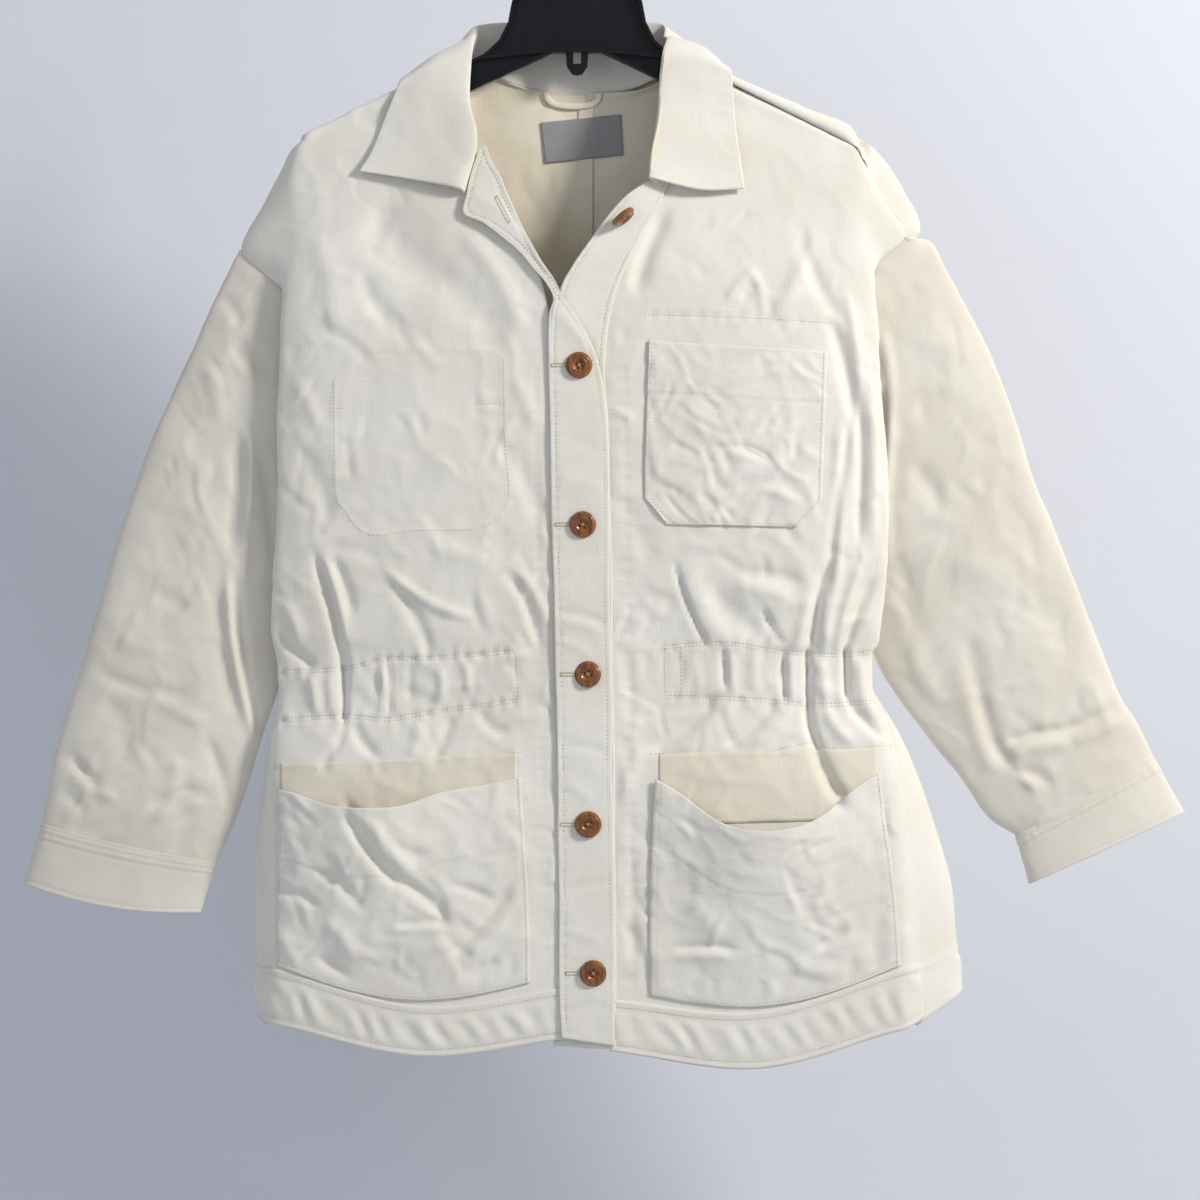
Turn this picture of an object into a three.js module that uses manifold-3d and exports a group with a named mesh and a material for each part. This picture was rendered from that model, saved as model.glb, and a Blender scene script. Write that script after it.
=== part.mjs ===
// Chore jacket of cotton twill on a moulded hanger. Millimetres, +Z up, the front of the jacket faces -Y.
// The origin is the top of the rail inside the hook. "Right" and "left" are the wearer's.
import * as THREE from 'three';
import Module from 'manifold-3d';
import { mergeVertices } from 'three/addons/utils/BufferGeometryUtils.js';

// Driving sizes
const CLOTH = 1.2;
const BAND_CLOTH = 1.6;
const COLLAR_CLOTH = 1.6;
const SEAM_GAP = 0.45;
const LAYER_GAP = 0.45;
const PATCH_GAP = 0.6;
const INSIDE_PATCH_GAP = 0.9;
const CENTRE_BACK_X = 7;
const SLEEVE_SIDES = 20;
const BUTTON_RADIUS = 10;
const BUTTON_THICKNESS = 3.6;
const BUTTON_SEGMENTS = 16;
const HANGER_WEB = 3;
const HANGER_FLANGE_WIDTH = 13;
const HANGER_FLANGE = 2.4;
const HOOK_BAR_RADIUS = 4;
const HOOK_INNER_RADIUS = 19;

const TWILL = { color: 0xf1ecdd, roughness: 0.9, metalness: 0 };
const HORN = { color: 0x7a3f1a, roughness: 0.35, metalness: 0 };
const WOVEN_LABEL = { color: 0x8b8b8d, roughness: 0.8, metalness: 0 };
const HANGER_PLASTIC = { color: 0x24272f, roughness: 0.4, metalness: 0 };

const wasm = await Module();
wasm.setup();

const jacket = new THREE.Group();

function vec(x, y, z) {
  return new THREE.Vector3(x, y, z);
}

function between(a, b, share) {
  return a.clone().lerp(b, share);
}

// A table keeps one row for each level of a piece, with its columns named once
function table(columns, rows) {
  return rows.map((row) => Object.fromEntries(columns.map((name, index) => [name, row[index]])));
}

function addPiece(name, geometry, finish) {
  const mesh = new THREE.Mesh(geometry, new THREE.MeshStandardMaterial(finish));
  mesh.name = name;
  jacket.add(mesh);
}

// Bare positions, with the points that lie together made one
const WELD = 1e-4;
function welded(geometry) {
  geometry.deleteAttribute('normal');
  geometry.deleteAttribute('uv');
  return mergeVertices(geometry, WELD);
}

function signedVolume(points, faces) {
  const cross = new THREE.Vector3();
  let total = 0;
  for (const [a, b, c] of faces) {
    cross.crossVectors(points[b], points[c]);
    total += points[a].dot(cross) / 6;
  }
  return total;
}

function meshFrom(points, faces) {
  const inward = signedVolume(points, faces) < 0;
  const geometry = new THREE.BufferGeometry();
  const flat = points.flatMap((p) => [p.x, p.y, p.z]);
  const order = faces.flatMap(([a, b, c]) => (inward ? [a, c, b] : [a, b, c]));
  geometry.setAttribute('position', new THREE.Float32BufferAttribute(flat, 3));
  geometry.setIndex(order);
  geometry.computeVertexNormals();
  return geometry;
}

function solidOf(geometry) {
  const merged = welded(geometry);
  return new wasm.Manifold(new wasm.Mesh({
    numProp: 3,
    vertProperties: new Float32Array(merged.attributes.position.array),
    triVerts: new Uint32Array(merged.index.array),
  }));
}

function geometryOf(solid) {
  const mesh = solid.getMesh();
  const geometry = new THREE.BufferGeometry();
  geometry.setAttribute('position', new THREE.BufferAttribute(new Float32Array(mesh.vertProperties), 3));
  geometry.setIndex(new THREE.BufferAttribute(new Uint32Array(mesh.triVerts), 1));
  geometry.computeVertexNormals();
  return geometry;
}

// The inner face of a wall: every point moved in along the surface's normal
function insetGrid(grid, thickness, { closed, guides, facing }) {
  const rows = grid.length;
  const columns = grid[0].length;
  const normals = grid.map((row, i) => row.map((point, j) => {
    let before = closed ? (j - 1 + columns) % columns : Math.max(j - 1, 0);
    let after = closed ? (j + 1) % columns : Math.min(j + 1, columns - 1);
    if (guides && j === 1) {
      after = 1;
    }
    if (guides && j === columns - 2) {
      before = j;
    }
    const along = row[after].clone().sub(row[before]);
    const up = grid[Math.min(i + 1, rows - 1)][j].clone().sub(grid[Math.max(i - 1, 0)][j]);
    return along.cross(up).normalize();
  }));
  let sense = 0;
  grid.forEach((row, i) => row.forEach((point, j) => {
    sense += normals[i][j].dot(facing(point));
  }));
  const sign = sense > 0 ? 1 : -1;
  return grid.map((row, i) => row.map((p, j) => p.clone().addScaledVector(normals[i][j], -sign * thickness)));
}

function withoutGuides(grid) {
  return grid.map((row) => row.slice(1, -1));
}

// A cloth wall over a grid of points.
// Guide columns run on past both edges, so that a seam's edge stands square to the cloth
function clothWall(guided, thickness, { closed = false, guides = false, facing = () => vec(0, -1, 0) } = {}) {
  const guidedInner = insetGrid(guided, thickness, { closed, guides, facing });
  const grid = guides ? withoutGuides(guided) : guided;
  const inner = guides ? withoutGuides(guidedInner) : guidedInner;
  const rows = grid.length;
  const columns = grid[0].length;
  const points = [...grid.flat(), ...inner.flat()];
  const offset = rows * columns;
  const faces = [];
  const quad = (a, b, c, d) => faces.push([a, b, c], [a, c, d]);
  const strips = closed ? columns : columns - 1;
  const next = (j) => (j + 1) % columns;
  for (let i = 0; i < rows - 1; i += 1) {
    for (let j = 0; j < strips; j += 1) {
      const a = i * columns + j;
      const b = i * columns + next(j);
      const c = b + columns;
      const d = a + columns;
      quad(a, b, c, d);
      quad(offset + a, offset + d, offset + c, offset + b);
    }
  }
  for (let j = 0; j < strips; j += 1) {
    const top = (rows - 1) * columns;
    quad(j, offset + j, offset + next(j), next(j));
    quad(top + j, top + next(j), offset + top + next(j), offset + top + j);
  }
  for (let i = 0; !closed && i < rows - 1; i += 1) {
    const left = i * columns;
    const right = left + columns - 1;
    quad(left, left + columns, offset + left + columns, offset + left);
    quad(right, offset + right, offset + right + columns, right + columns);
  }
  return meshFrom(points, faces);
}

// Points along a smooth line through control points, a set number of steps to each stretch.
// The first and last controls only steer it
function smoothRow(controls, steps) {
  const curve = new THREE.CatmullRomCurve3(controls, false, 'centripetal');
  const stretches = controls.length - 1;
  const row = [];
  for (let s = 1; s < stretches - 1; s += 1) {
    for (let k = 0; k < steps[s - 1]; k += 1) {
      row.push(curve.getPoint((s + k / steps[s - 1]) / stretches));
    }
  }
  row.push(controls[stretches - 1].clone());
  return row;
}

// The same, with a guide point a little past each end
const GUIDE_SHARE = 0.05;
function guidedRow(controls, steps) {
  const curve = new THREE.CatmullRomCurve3(controls, false, 'centripetal');
  const stretches = controls.length - 1;
  const first = curve.getPoint((1 - GUIDE_SHARE) / stretches);
  const last = curve.getPoint((stretches - 1 + GUIDE_SHARE) / stretches);
  return [first, ...smoothRow(controls, steps), last];
}

function beyond(end, inside) {
  return end.clone().multiplyScalar(2).sub(inside);
}

// Fronts. Each level runs from the placket (in) over the chest (mid) to the side ridge and back to its end,
// which is the side seam below the underarm, the armhole beside it and the shoulder seam above.
const FRONT_COLUMNS = [
  'level', 'inX', 'inZ', 'inY', 'midY', 'sag', 'ridgeX', 'ridgeZ', 'ridgeY', 'endX', 'endZ', 'endY',
];
const RIGHT_FRONT = table(FRONT_COLUMNS, [
  ['band', -12, -902, -36, -36, 19, -235, -892, -24, -243, -889, -12],
  ['hem', -12, -862, -37, -37, 22, -235, -848, -25, -242, -848, -13],
  ['low', -12, -797, -37, -40, 11, -235, -792, -26, -243, -791, -13],
  ['pocket', -13, -743, -37, -41, 6, -236, -740, -26, -243, -739, -12],
  ['mouth', -13, -701, -37, -38, 2, -234, -695, -24, -239, -697, -10],
  ['flare', -14, -670, -36, -34, 0, -233, -668, -21, -235, -671, -7],
  ['underCord', -15, -649, -35, -31, 0, -229, -652, -18, -226, -652, -4],
  ['cord', -15, -631, -35, -31, 0, -229, -632, -17, -222, -632, -3],
  ['overCord', -16, -612, -35, -32, 0, -231, -614, -18, -219, -614, -3],
  ['blouse', -17, -591, -35, -35, 0, -235, -591, -20, -218, -591, -3],
  ['rib', -18, -558, -36, -37, 0, -234, -558, -21, -216, -558, -3],
  ['underarm', -20, -524, -36, -38, 0, -232, -524, -22, -213, -524, -1],
  ['armLow', -21, -474, -37, -38, 0, -230, -474, -22, -203, -474, -9],
  ['armMid', -22, -431, -37, -38, 0, -231, -431, -22, -199, -431, -10],
  ['armHigh', -22, -390, -38, -37, 0, -229, -389, -21, -203, -389, -10],
  ['chest', -21, -349, -37.5, -35, 0, -228, -354, -20, -213, -354, -9],
  ['lapelLow', -30, -313, -36.5, -32, 0, -226, -327, -18, -226, -328, -9],
  ['lapelMid', -42, -293, -34.5, -29, 0, -226, -307, -17, -243, -313, -7],
  ['point', -51, -275, -31, -26, 0, -225, -286, -15, -259, -296, 0],
  ['dropLow', -61, -253, -27.5, -22, 0, -223, -258, -13, -242, -260, 0],
  ['dropMid', -77, -223, -21.5, -17, 0, -220, -232, -11, -228, -233, 0],
  ['dropHigh', -89, -192, -16, -14, 0, -216, -217, -10, -221, -219, 0],
  ['nearTop', -90, -166, -9.5, -9.5, 0, -211, -211, -9, -214, -213, 0],
  ['brow', -90, -151.4, -8.8, -8.8, -2, -209.5, -207, -8.6, -213, -210, 0],
  ['top', -90, -151, 0, 0, -2, -209, -206, 0, -212, -207, 0],
]);
const LEFT_FRONT = table(FRONT_COLUMNS, [
  ['band', 31, -912, -35, -36, 22, 253, -895, -33, 266, -887, -27],
  ['hem', 31, -872, -35, -37, 22, 253, -847, -34, 263, -845, -27],
  ['low', 31, -801, -35, -40, 11, 250, -795, -34, 261, -794, -26],
  ['pocket', 30, -747, -35, -41, 6, 246, -744, -33, 257, -742, -24],
  ['mouth', 30, -703, -35, -38, 2, 239, -698, -31, 250, -698, -21],
  ['flare', 30, -671, -34, -34, 0, 233, -671, -28, 244, -673, -16],
  ['underCord', 29, -648, -34, -31, 0, 227, -648, -23, 235, -648, -9],
  ['cord', 28, -630, -34, -31, 0, 226, -630, -20, 224, -630, -4],
  ['overCord', 28, -610, -34, -32, 0, 229, -610, -19, 221, -610, -3],
  ['blouse', 28, -589, -34, -35, 0, 233, -589, -20, 218, -589, -3],
  ['rib', 28, -558, -34, -37, 0, 237, -558, -21, 214, -558, -3],
  ['underarm', 27, -524, -34, -38, 0, 239, -524, -22, 212, -524, -1],
  ['armLow', 26, -474, -34, -38, 0, 239, -474, -22, 202, -474, -9],
  ['armMid', 25, -431, -34, -38, 0, 236, -431, -22, 199, -431, -10],
  ['armHigh', 22, -390, -34, -37, 0, 233, -389, -21, 203, -389, -10],
  ['chest', 26, -349, -35, -35, 0, 232, -354, -20, 216, -354, -10],
  ['lapelLow', 33, -323, -34, -32, 0, 229, -327, -18, 224, -329, -10],
  ['lapelMid', 42, -303, -33, -29, 0, 228, -307, -17, 233, -306, -10],
  ['point', 52, -283, -31, -26, 0, 226, -286, -15, 253, -285, -9],
  ['dropLow', 64, -263, -29, -22, 0, 226, -261, -14, 242, -266, -9.5],
  ['dropMid', 76, -231, -23, -18, 0, 223, -243, -13, 232, -249, -9.5],
  ['dropHigh', 85, -192, -17, -14, 0, 220, -231, -11.5, 224, -233, -9.5],
  ['nearTop', 92, -169, -11, -11, 0, 218, -224, -10.5, 220, -227, -9.5],
  ['top', 93, -156, -9.5, -9.5, 0, 215, -218.6, -9.5, 217, -220.6, -9.5],
]);

// Backs. Each level runs from the side, armhole or shoulder (end) round the side to the neck line and the
// centre. An end without a depth lies on the front's seam. Over the left shoulder the turn into the neck
// is given too.
const BACK_COLUMNS = [
  'level', 'endX', 'endZ', 'endY', 'sideX', 'sideZ', 'sideY', 'neckX', 'neckZ', 'neckY', 'dip',
  'centreZ', 'centreY', 'turnX', 'turnZ', 'turnY',
];
const ON_SEAM = null;
const RIGHT_BACK = table(BACK_COLUMNS, [
  ['band', -243, -889, ON_SEAM, -246, -884, -1, -113, -897, 25, 0, -889, 24],
  ['hem', -242, -848, ON_SEAM, -248, -845, 0, -113, -855, 26, 0, -847, 24],
  ['low', -243, -791, ON_SEAM, -248, -792, 1, -113, -801, 28, 0, -797, 25],
  ['pocket', -243, -739, ON_SEAM, -245, -743, 2, -113, -747, 29, 0, -745, 26],
  ['mouth', -239, -697, ON_SEAM, -240, -697, 2, -113, -701, 26, 0, -701, 24],
  ['flare', -235, -671, ON_SEAM, -235, -671, 3, -113, -671, 22, 0, -670, 22],
  ['underCord', -226, -652, ON_SEAM, -228, -652, 4, -113, -648, 19, 0, -648, 20],
  ['cord', -222, -632, ON_SEAM, -224, -632, 5, -113, -631, 18, 0, -631, 20],
  ['overCord', -219, -614, ON_SEAM, -221, -614, 5, -113, -610, 19, 0, -610, 21],
  ['blouse', -218, -591, ON_SEAM, -219, -591, 6, -113, -589, 23, 0, -589, 23],
  ['rib', -216, -558, ON_SEAM, -216, -558, 6, -113, -558, 26, 0, -558, 25],
  ['underarm', -213, -524, ON_SEAM, -213, -524, 8, -113, -524, 27, 0, -524, 26],
  ['armLow', -207, -474, 9, -203, -474, 15, -113, -474, 27, 0, -474, 26],
  ['armMid', -211, -431, 11, -206, -431, 17, -113, -431, 27, 0, -431, 26],
  ['armHigh', -218, -389, 12, -212, -389, 17, -109, -390, 26, 0, -390, 26],
  ['chest', -227, -354, 11, -221, -354, 16, -105, -352, 25, 0, -350, 26],
  ['lapelLow', -237, -328, 9, -230, -328, 14, -102, -322, 24, 0, -316, 26],
  ['lapelMid', -248, -313, 6, -240, -313, 11, -98, -300, 23, 0, -289, 26],
  ['point', -259, -296, ON_SEAM, -253, -296, 7, -95, -278, 21, 0, -266, 26],
  ['dropLow', -242, -260, ON_SEAM, -236, -259, 8, -94, -249, 19, 0, -246, 26],
  ['dropMid', -228, -233, ON_SEAM, -223, -233, 9, -92, -216, 16, 0, -223, 26],
  ['dropHigh', -221, -219, ON_SEAM, -216, -219, 9, -90, -190, 13, 0, -200, 26],
  ['nearTop', -214, -213, ON_SEAM, -209, -209, 9.5, -89, -162, 11, 3, -184, 26],
  ['brow', -213, -210, ON_SEAM, -207, -205.6, 8.6, -89, -150.6, 8.8, 5, -177, 25.5],
  ['top', -212, -207, ON_SEAM, -204, -203.6, 0.6, -89, -150.2, 0.6, 8, -172, 25],
]);
const LEFT_BACK = table(BACK_COLUMNS, [
  ['band', 266, -887, ON_SEAM, 297, -866, -7, 110, -897, 25, 0, -889, 24],
  ['hem', 263, -845, ON_SEAM, 293, -831, -6, 110, -855, 26, 0, -847, 24],
  ['low', 261, -794, ON_SEAM, 289, -785, -4, 110, -801, 28, 0, -797, 25],
  ['pocket', 257, -742, ON_SEAM, 276, -739, -3, 110, -747, 29, 0, -745, 26],
  ['mouth', 250, -698, ON_SEAM, 263, -701, -2, 110, -701, 26, 0, -701, 24],
  ['flare', 244, -673, ON_SEAM, 250, -671, -1, 110, -671, 22, 0, -670, 22],
  ['underCord', 235, -648, ON_SEAM, 236, -648, 1, 110, -648, 19, 0, -648, 20],
  ['cord', 224, -630, ON_SEAM, 226, -631, 4, 110, -631, 18, 0, -631, 20],
  ['overCord', 221, -610, ON_SEAM, 223, -610, 5, 110, -610, 19, 0, -610, 21],
  ['blouse', 218, -589, ON_SEAM, 219, -589, 6, 110, -589, 23, 0, -589, 23],
  ['rib', 214, -558, ON_SEAM, 214, -558, 6, 110, -558, 26, 0, -558, 25],
  ['underarm', 212, -524, ON_SEAM, 212, -524, 8, 110, -524, 27, 0, -524, 26],
  ['armLow', 206, -474, 9, 202, -474, 15, 110, -474, 27, 0, -474, 26],
  ['armMid', 210, -431, 11, 205, -431, 17, 110, -431, 27, 0, -431, 26],
  ['armHigh', 217, -389, 12, 211, -389, 17, 109, -390, 26, 0, -390, 26],
  ['chest', 228, -354, 11, 222, -354, 16, 106, -352, 25, 0, -350, 26],
  ['lapelLow', 241, -326, 8, 234, -326, 14, 104, -322, 24, 0, -316, 26],
  ['lapelMid', 255, -303, 1, 251, -303, 9, 101, -300, 23, 0, -289, 26],
  ['point', 253, -285, ON_SEAM, 265, -278, 0, 97, -278, 21, 0, -266, 26],
  ['dropLow', 242, -266, ON_SEAM, 253, -251, 0, 95, -249, 19, 0, -246, 26],
  ['dropMid', 232, -249, ON_SEAM, 237, -226, 0, 93, -216, 16, 0, -223, 26],
  ['dropHigh', 224.6, -232.7, -9.5, 225.5, -214, 4, 92, -187, 13, 2, -203, 26],
  ['rear', 223.5, -229.3, -9.5, 214, -210, 9.5, 92, -167, 11, 3, -192, 26],
  ['rearBrow', 222.4, -227.3, -9.5, 210, -203, 8.8, 100, -153.6, 8.8, 4, -186, 26, 97, -154.8, 13.5],
  ['crest', 220.7, -225.3, -9.5, 212, -201, 0, 99, -152, 0, 5, -181, 26, 94.5, -151.8, 11],
  ['frontBrow', 219.6, -222.8, -9.5, 208, -203.5, -8.6, 97, -152.2, -8.8, 6, -176.5, 25.5, 92.5, -150.6, 9.3],
  ['top', 218.4, -218.0, -9.6, 204, -210.4, -9.5, 94.5, -155.6, -9.5, 6, -172, 25, 90, -149.8, 8],
]);

// Gathers at the waist cord and the long folds above it. Each is a trough at x, leaning with height
const FOLDS = table(['x', 'z', 'height', 'width', 'depth', 'lean'], [
  [-179, -630, 46, 10, 3.2, 0],
  [-205, -632, 34, 9, 2.0, 0.1],
  [-150, -634, 32, 9, 1.8, -0.1],
  [-118, -630, 38, 10, 2.2, 0.1],
  [-82, -634, 34, 9, 1.8, 0],
  [-48, -632, 30, 9, 1.6, 0.1],
  [-192, -540, 60, 10, 3.0, 0.25],
  [58, -632, 32, 9, 1.8, 0],
  [86, -630, 36, 9, 1.8, 0.1],
  [113, -634, 44, 10, 2.8, 0],
  [137, -630, 34, 9, 1.8, 0],
  [156, -632, 42, 9, 3.0, 0],
  [178, -634, 50, 10, 4.2, 0],
  [206, -630, 42, 9, 3.0, -0.1],
  [204, -530, 75, 11, 3.2, -0.08],
  [-150, -860, 60, 16, 2.5, 0.15],
  [-95, -850, 60, 16, 2.0, 0.1],
  [110, -855, 60, 16, 2.5, 0.1],
  [185, -850, 70, 16, 2.5, 0.1],
]);
const BACK_FOLDS = table(['x', 'z', 'height', 'width', 'depth', 'lean'], [
  [-190, -632, 40, 11, 2.6, 0],
  [-155, -630, 36, 10, 2.0, 0.1],
  [-118, -634, 42, 11, 2.6, 0],
  [-80, -630, 34, 10, 2.0, 0],
  [-42, -632, 40, 11, 2.4, -0.1],
  [40, -632, 36, 11, 2.4, 0.1],
  [78, -630, 42, 10, 2.2, 0],
  [117, -634, 38, 11, 2.8, 0],
  [154, -632, 40, 10, 2.2, 0],
  [190, -630, 42, 11, 2.8, 0],
]);

function foldDepth(folds, x, z) {
  let depth = 0;
  for (const fold of folds) {
    const across = (x - fold.x - fold.lean * (z - fold.z)) / fold.width;
    const along = (z - fold.z) / fold.height;
    depth += fold.depth * Math.exp(-across * across - along * along);
  }
  return depth;
}

const FRONT_STEPS = [8, 8, 3, 4];
const BACK_STEPS = [2, 2, 4, 1, 2, 2, 3];
// A front turns from its flat to the side ridge at the knee, a set way in from the ridge
const KNEE_INSET = 16;
const KNEE_SHARE = 0.45;
// A back turns at its own knee, is held straight up to the neck, and turns there into the neck's curve
const BACK_KNEE_SHARE = 0.3;
const BACK_KNEE_DEPTH = 0.75;
const HOLD_SHARE = 0.93;
const TURN_SHARE = 0.14;
const TURN_RISE = 0.6;
const TURN_DROP = 0.02;
const CURVE_DEPTH = 0.22;
// Folds fade out toward a seam that the panel is held by
const PINNED_MARGIN = 26;

function frontRow(row, backRow) {
  const toCentre = Math.sign(row.inX - row.ridgeX);
  const start = vec(row.inX, row.inY, row.inZ);
  const middle = vec((row.inX + row.ridgeX) / 2, row.midY, (row.inZ + row.ridgeZ) / 2 - row.sag);
  const ridge = vec(row.ridgeX, row.ridgeY, row.ridgeZ);
  const kneeZ = row.ridgeZ + ((middle.z - row.ridgeZ) * KNEE_INSET) / Math.abs(middle.x - row.ridgeX);
  const kneeY = row.midY * KNEE_SHARE + row.ridgeY * (1 - KNEE_SHARE);
  const knee = vec(row.ridgeX + toCentre * KNEE_INSET, kneeY, kneeZ);
  const end = vec(row.endX, row.endY, row.endZ);
  const after = backRow && backRow.endY === ON_SEAM
    ? vec(backRow.sideX, backRow.sideY, backRow.sideZ)
    : beyond(end, ridge);
  const before = beyond(start, middle);
  const points = guidedRow([before, start, middle, knee, ridge, end, after], FRONT_STEPS);
  const flat = points.length - 2 - FRONT_STEPS[3] - FRONT_STEPS[2];
  return points.map((p, j) => {
    const pinned = j > flat ? 0 : Math.min(1, Math.abs(p.x - row.inX) / PINNED_MARGIN);
    return vec(p.x, p.y + pinned * foldDepth(FOLDS, p.x, p.z), p.z);
  });
}

// A seam's point at a height, read off the front's own end points
function seamAt(frontRows, z) {
  const ends = frontRows.map((row) => vec(row.endX, row.endY, row.endZ));
  for (let i = 0; i < ends.length - 1; i += 1) {
    if (z >= ends[i].z && z <= ends[i + 1].z) {
      return between(ends[i], ends[i + 1], (z - ends[i].z) / (ends[i + 1].z - ends[i].z));
    }
  }
  return z < ends[0].z ? ends[0] : ends[ends.length - 1];
}

// Round a seam the back is steered by the front's ridge at the same level
function steer(frontRows, row) {
  const front = frontRows.find((other) => other.level === row.level) ?? frontRows[frontRows.length - 2];
  return vec(front.ridgeX, front.ridgeY, front.ridgeZ);
}

function backRow(row, frontRows, toSide) {
  const side = vec(row.sideX, row.sideY, row.sideZ);
  let end = vec(row.endX, row.endY, row.endZ);
  if (row.endY === ON_SEAM) {
    const seam = seamAt(frontRows, row.endZ);
    const away = side.clone().sub(seam).normalize();
    end = seam.addScaledVector(away, SEAM_GAP);
  }
  const neck = vec(row.neckX, row.neckY, row.neckZ);
  const knee = between(side, neck, BACK_KNEE_SHARE);
  knee.y = row.sideY + (row.neckY - row.sideY) * BACK_KNEE_DEPTH;
  const centre = vec(CENTRE_BACK_X + toSide * SEAM_GAP / 2, row.centreY, row.centreZ);
  const curve = between(neck, centre, 0.5);
  curve.y = row.centreY - (row.centreY - row.neckY) * CURVE_DEPTH;
  curve.z -= row.dip;
  const turn = between(neck, curve, TURN_SHARE);
  turn.y = neck.y + (curve.y - neck.y) * TURN_RISE;
  turn.z = neck.z + (curve.z - neck.z) * TURN_DROP;
  if (row.turnX !== undefined) {
    turn.set(row.turnX, row.turnY, row.turnZ);
  }
  const hold = between(knee, neck, HOLD_SHARE);
  const before = row.endY === ON_SEAM ? steer(frontRows, row) : beyond(end, side);
  const after = beyond(centre, curve);
  const points = guidedRow([before, end, side, knee, hold, neck, turn, curve, centre, after], BACK_STEPS);
  return points.map((p, j) => {
    const turning = j <= BACK_STEPS[0] + BACK_STEPS[1];
    const pinned = turning ? 0 : Math.min(1, Math.abs(p.x - CENTRE_BACK_X) / PINNED_MARGIN);
    return vec(p.x, p.y - pinned * foldDepth(BACK_FOLDS, p.x, p.z), p.z);
  });
}

function frontGrid(rows, backRows) {
  return rows.map((row) => frontRow(row, backRows.find((other) => other.level === row.level)));
}

const rightFrontGrid = frontGrid(RIGHT_FRONT, RIGHT_BACK);
const leftFrontGrid = frontGrid(LEFT_FRONT, LEFT_BACK);
const rightBackGrid = RIGHT_BACK.map((row) => backRow(row, RIGHT_FRONT, -1));
const leftBackGrid = LEFT_BACK.map((row) => backRow(row, LEFT_FRONT, 1));

// The hem band is the lowest stretch of each grid, cut from the panel at its top seam
const HEM_SEAM_SHARE = 0.012;
function splitAtHem(grid) {
  const low = grid[0];
  const top = grid[1].map((p, j) => between(p, low[j], HEM_SEAM_SHARE));
  const middle = low.map((p, j) => between(p, top[j], 0.5));
  return { panel: grid.slice(1), band: [low, middle, top] };
}

const rightFront = splitAtHem(rightFrontGrid);
const leftFront = splitAtHem(leftFrontGrid);
const rightBack = splitAtHem(rightBackGrid);
const leftBack = splitAtHem(leftBackGrid);
const facingFront = () => vec(0, -1, 0);
const facingBack = () => vec(0, 1, 0);

addPiece('right_front', clothWall(rightFront.panel, CLOTH, { guides: true, facing: facingFront }), TWILL);
addPiece('left_front', clothWall(leftFront.panel, CLOTH, { guides: true, facing: facingFront }), TWILL);
addPiece('back_right', clothWall(rightBack.panel, CLOTH, { guides: true, facing: facingBack }), TWILL);
addPiece('back_left', clothWall(leftBack.panel, CLOTH, { guides: true, facing: facingBack }), TWILL);
const backBand = rightBack.band.map((row, i) => [
  ...row.slice(0, -1),
  ...[...leftBack.band[i]].reverse().slice(1),
]);
const addBand = (name, grid, facing) => {
  addPiece(name, clothWall(grid, BAND_CLOTH, { guides: true, facing }), TWILL);
};
addBand('hem_band_right_front', rightFront.band, facingFront);
addBand('hem_band_left_front', leftFront.band, facingFront);
addBand('hem_band_back', backBand, facingBack);

// Sleeves. Each level is a flat ring from the outer edge to the inner edge, between a front and a back depth
const SLEEVE_COLUMNS = ['outerX', 'outerZ', 'innerX', 'innerZ', 'frontY', 'backY', 'sag'];
const RIGHT_SLEEVE = table(SLEEVE_COLUMNS, [
  [-269, -312, -218, -534, -8, 13, 0],
  [-281, -336, -220, -548, -8, 14, 0],
  [-295, -368, -222, -564, -8, 14, 0],
  [-313, -407, -223, -580, -8, 14, 0],
  [-329, -443, -224, -598, -9, 14, 0],
  [-340, -474, -227, -616, -9, 14, 0],
  [-350, -504, -231, -636, -10, 14, 0],
  [-360, -537, -238, -656, -11, 13, 0],
  [-369, -570, -247, -684, -12, 13, 0],
  [-386, -628, -257, -718, -12, 12, 0],
  [-401, -677, -266, -741, -12, 12, 0],
  [-413, -738, -278, -768, -12, 12, 2],
]);
const RIGHT_CUFF = table(SLEEVE_COLUMNS, [
  [-413.2, -738.6, -278.3, -768.6, -12, 12, 2],
  [-420, -762, -285, -788, -12.5, 12.5, 4],
  [-427, -785, -291, -807, -13, 13, 7],
]);
const LEFT_SLEEVE = table(SLEEVE_COLUMNS, [
  [273, -289, 217, -534, -7, 13, 0],
  [284, -308, 219, -548, -8, 14, 0],
  [299, -336, 221, -562, -8, 14, 0],
  [318, -373, 222, -577, -8, 14, 0],
  [333, -410, 225, -592, -8, 14, 0],
  [343, -440, 229, -607, -8, 14, 0],
  [353, -474, 235, -621, -9, 14, 0],
  [367, -507, 245, -637, -10, 14, 0],
  [383, -548, 261, -659, -11, 13, 0],
  [402, -597, 279, -682, -12, 12, 0],
  [420, -641, 296, -702, -12, 12, 0],
  [434, -663, 318, -734, -12, 12, 0],
  [445, -687, 338, -747, -12, 12, 0],
]);
const LEFT_CUFF = table(SLEEVE_COLUMNS, [
  [445.4, -687.7, 338.4, -747.7, -12, 12, 0],
  [457, -709, 344, -766, -12.5, 12.5, 0],
  [469, -730, 349, -785, -13, 13, 0],
]);
const RING_FULLNESS = 0.8;
const ARMHOLE_LEVELS = ['underarm', 'armLow', 'armMid', 'armHigh', 'chest', 'lapelLow', 'lapelMid', 'point'];

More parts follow.
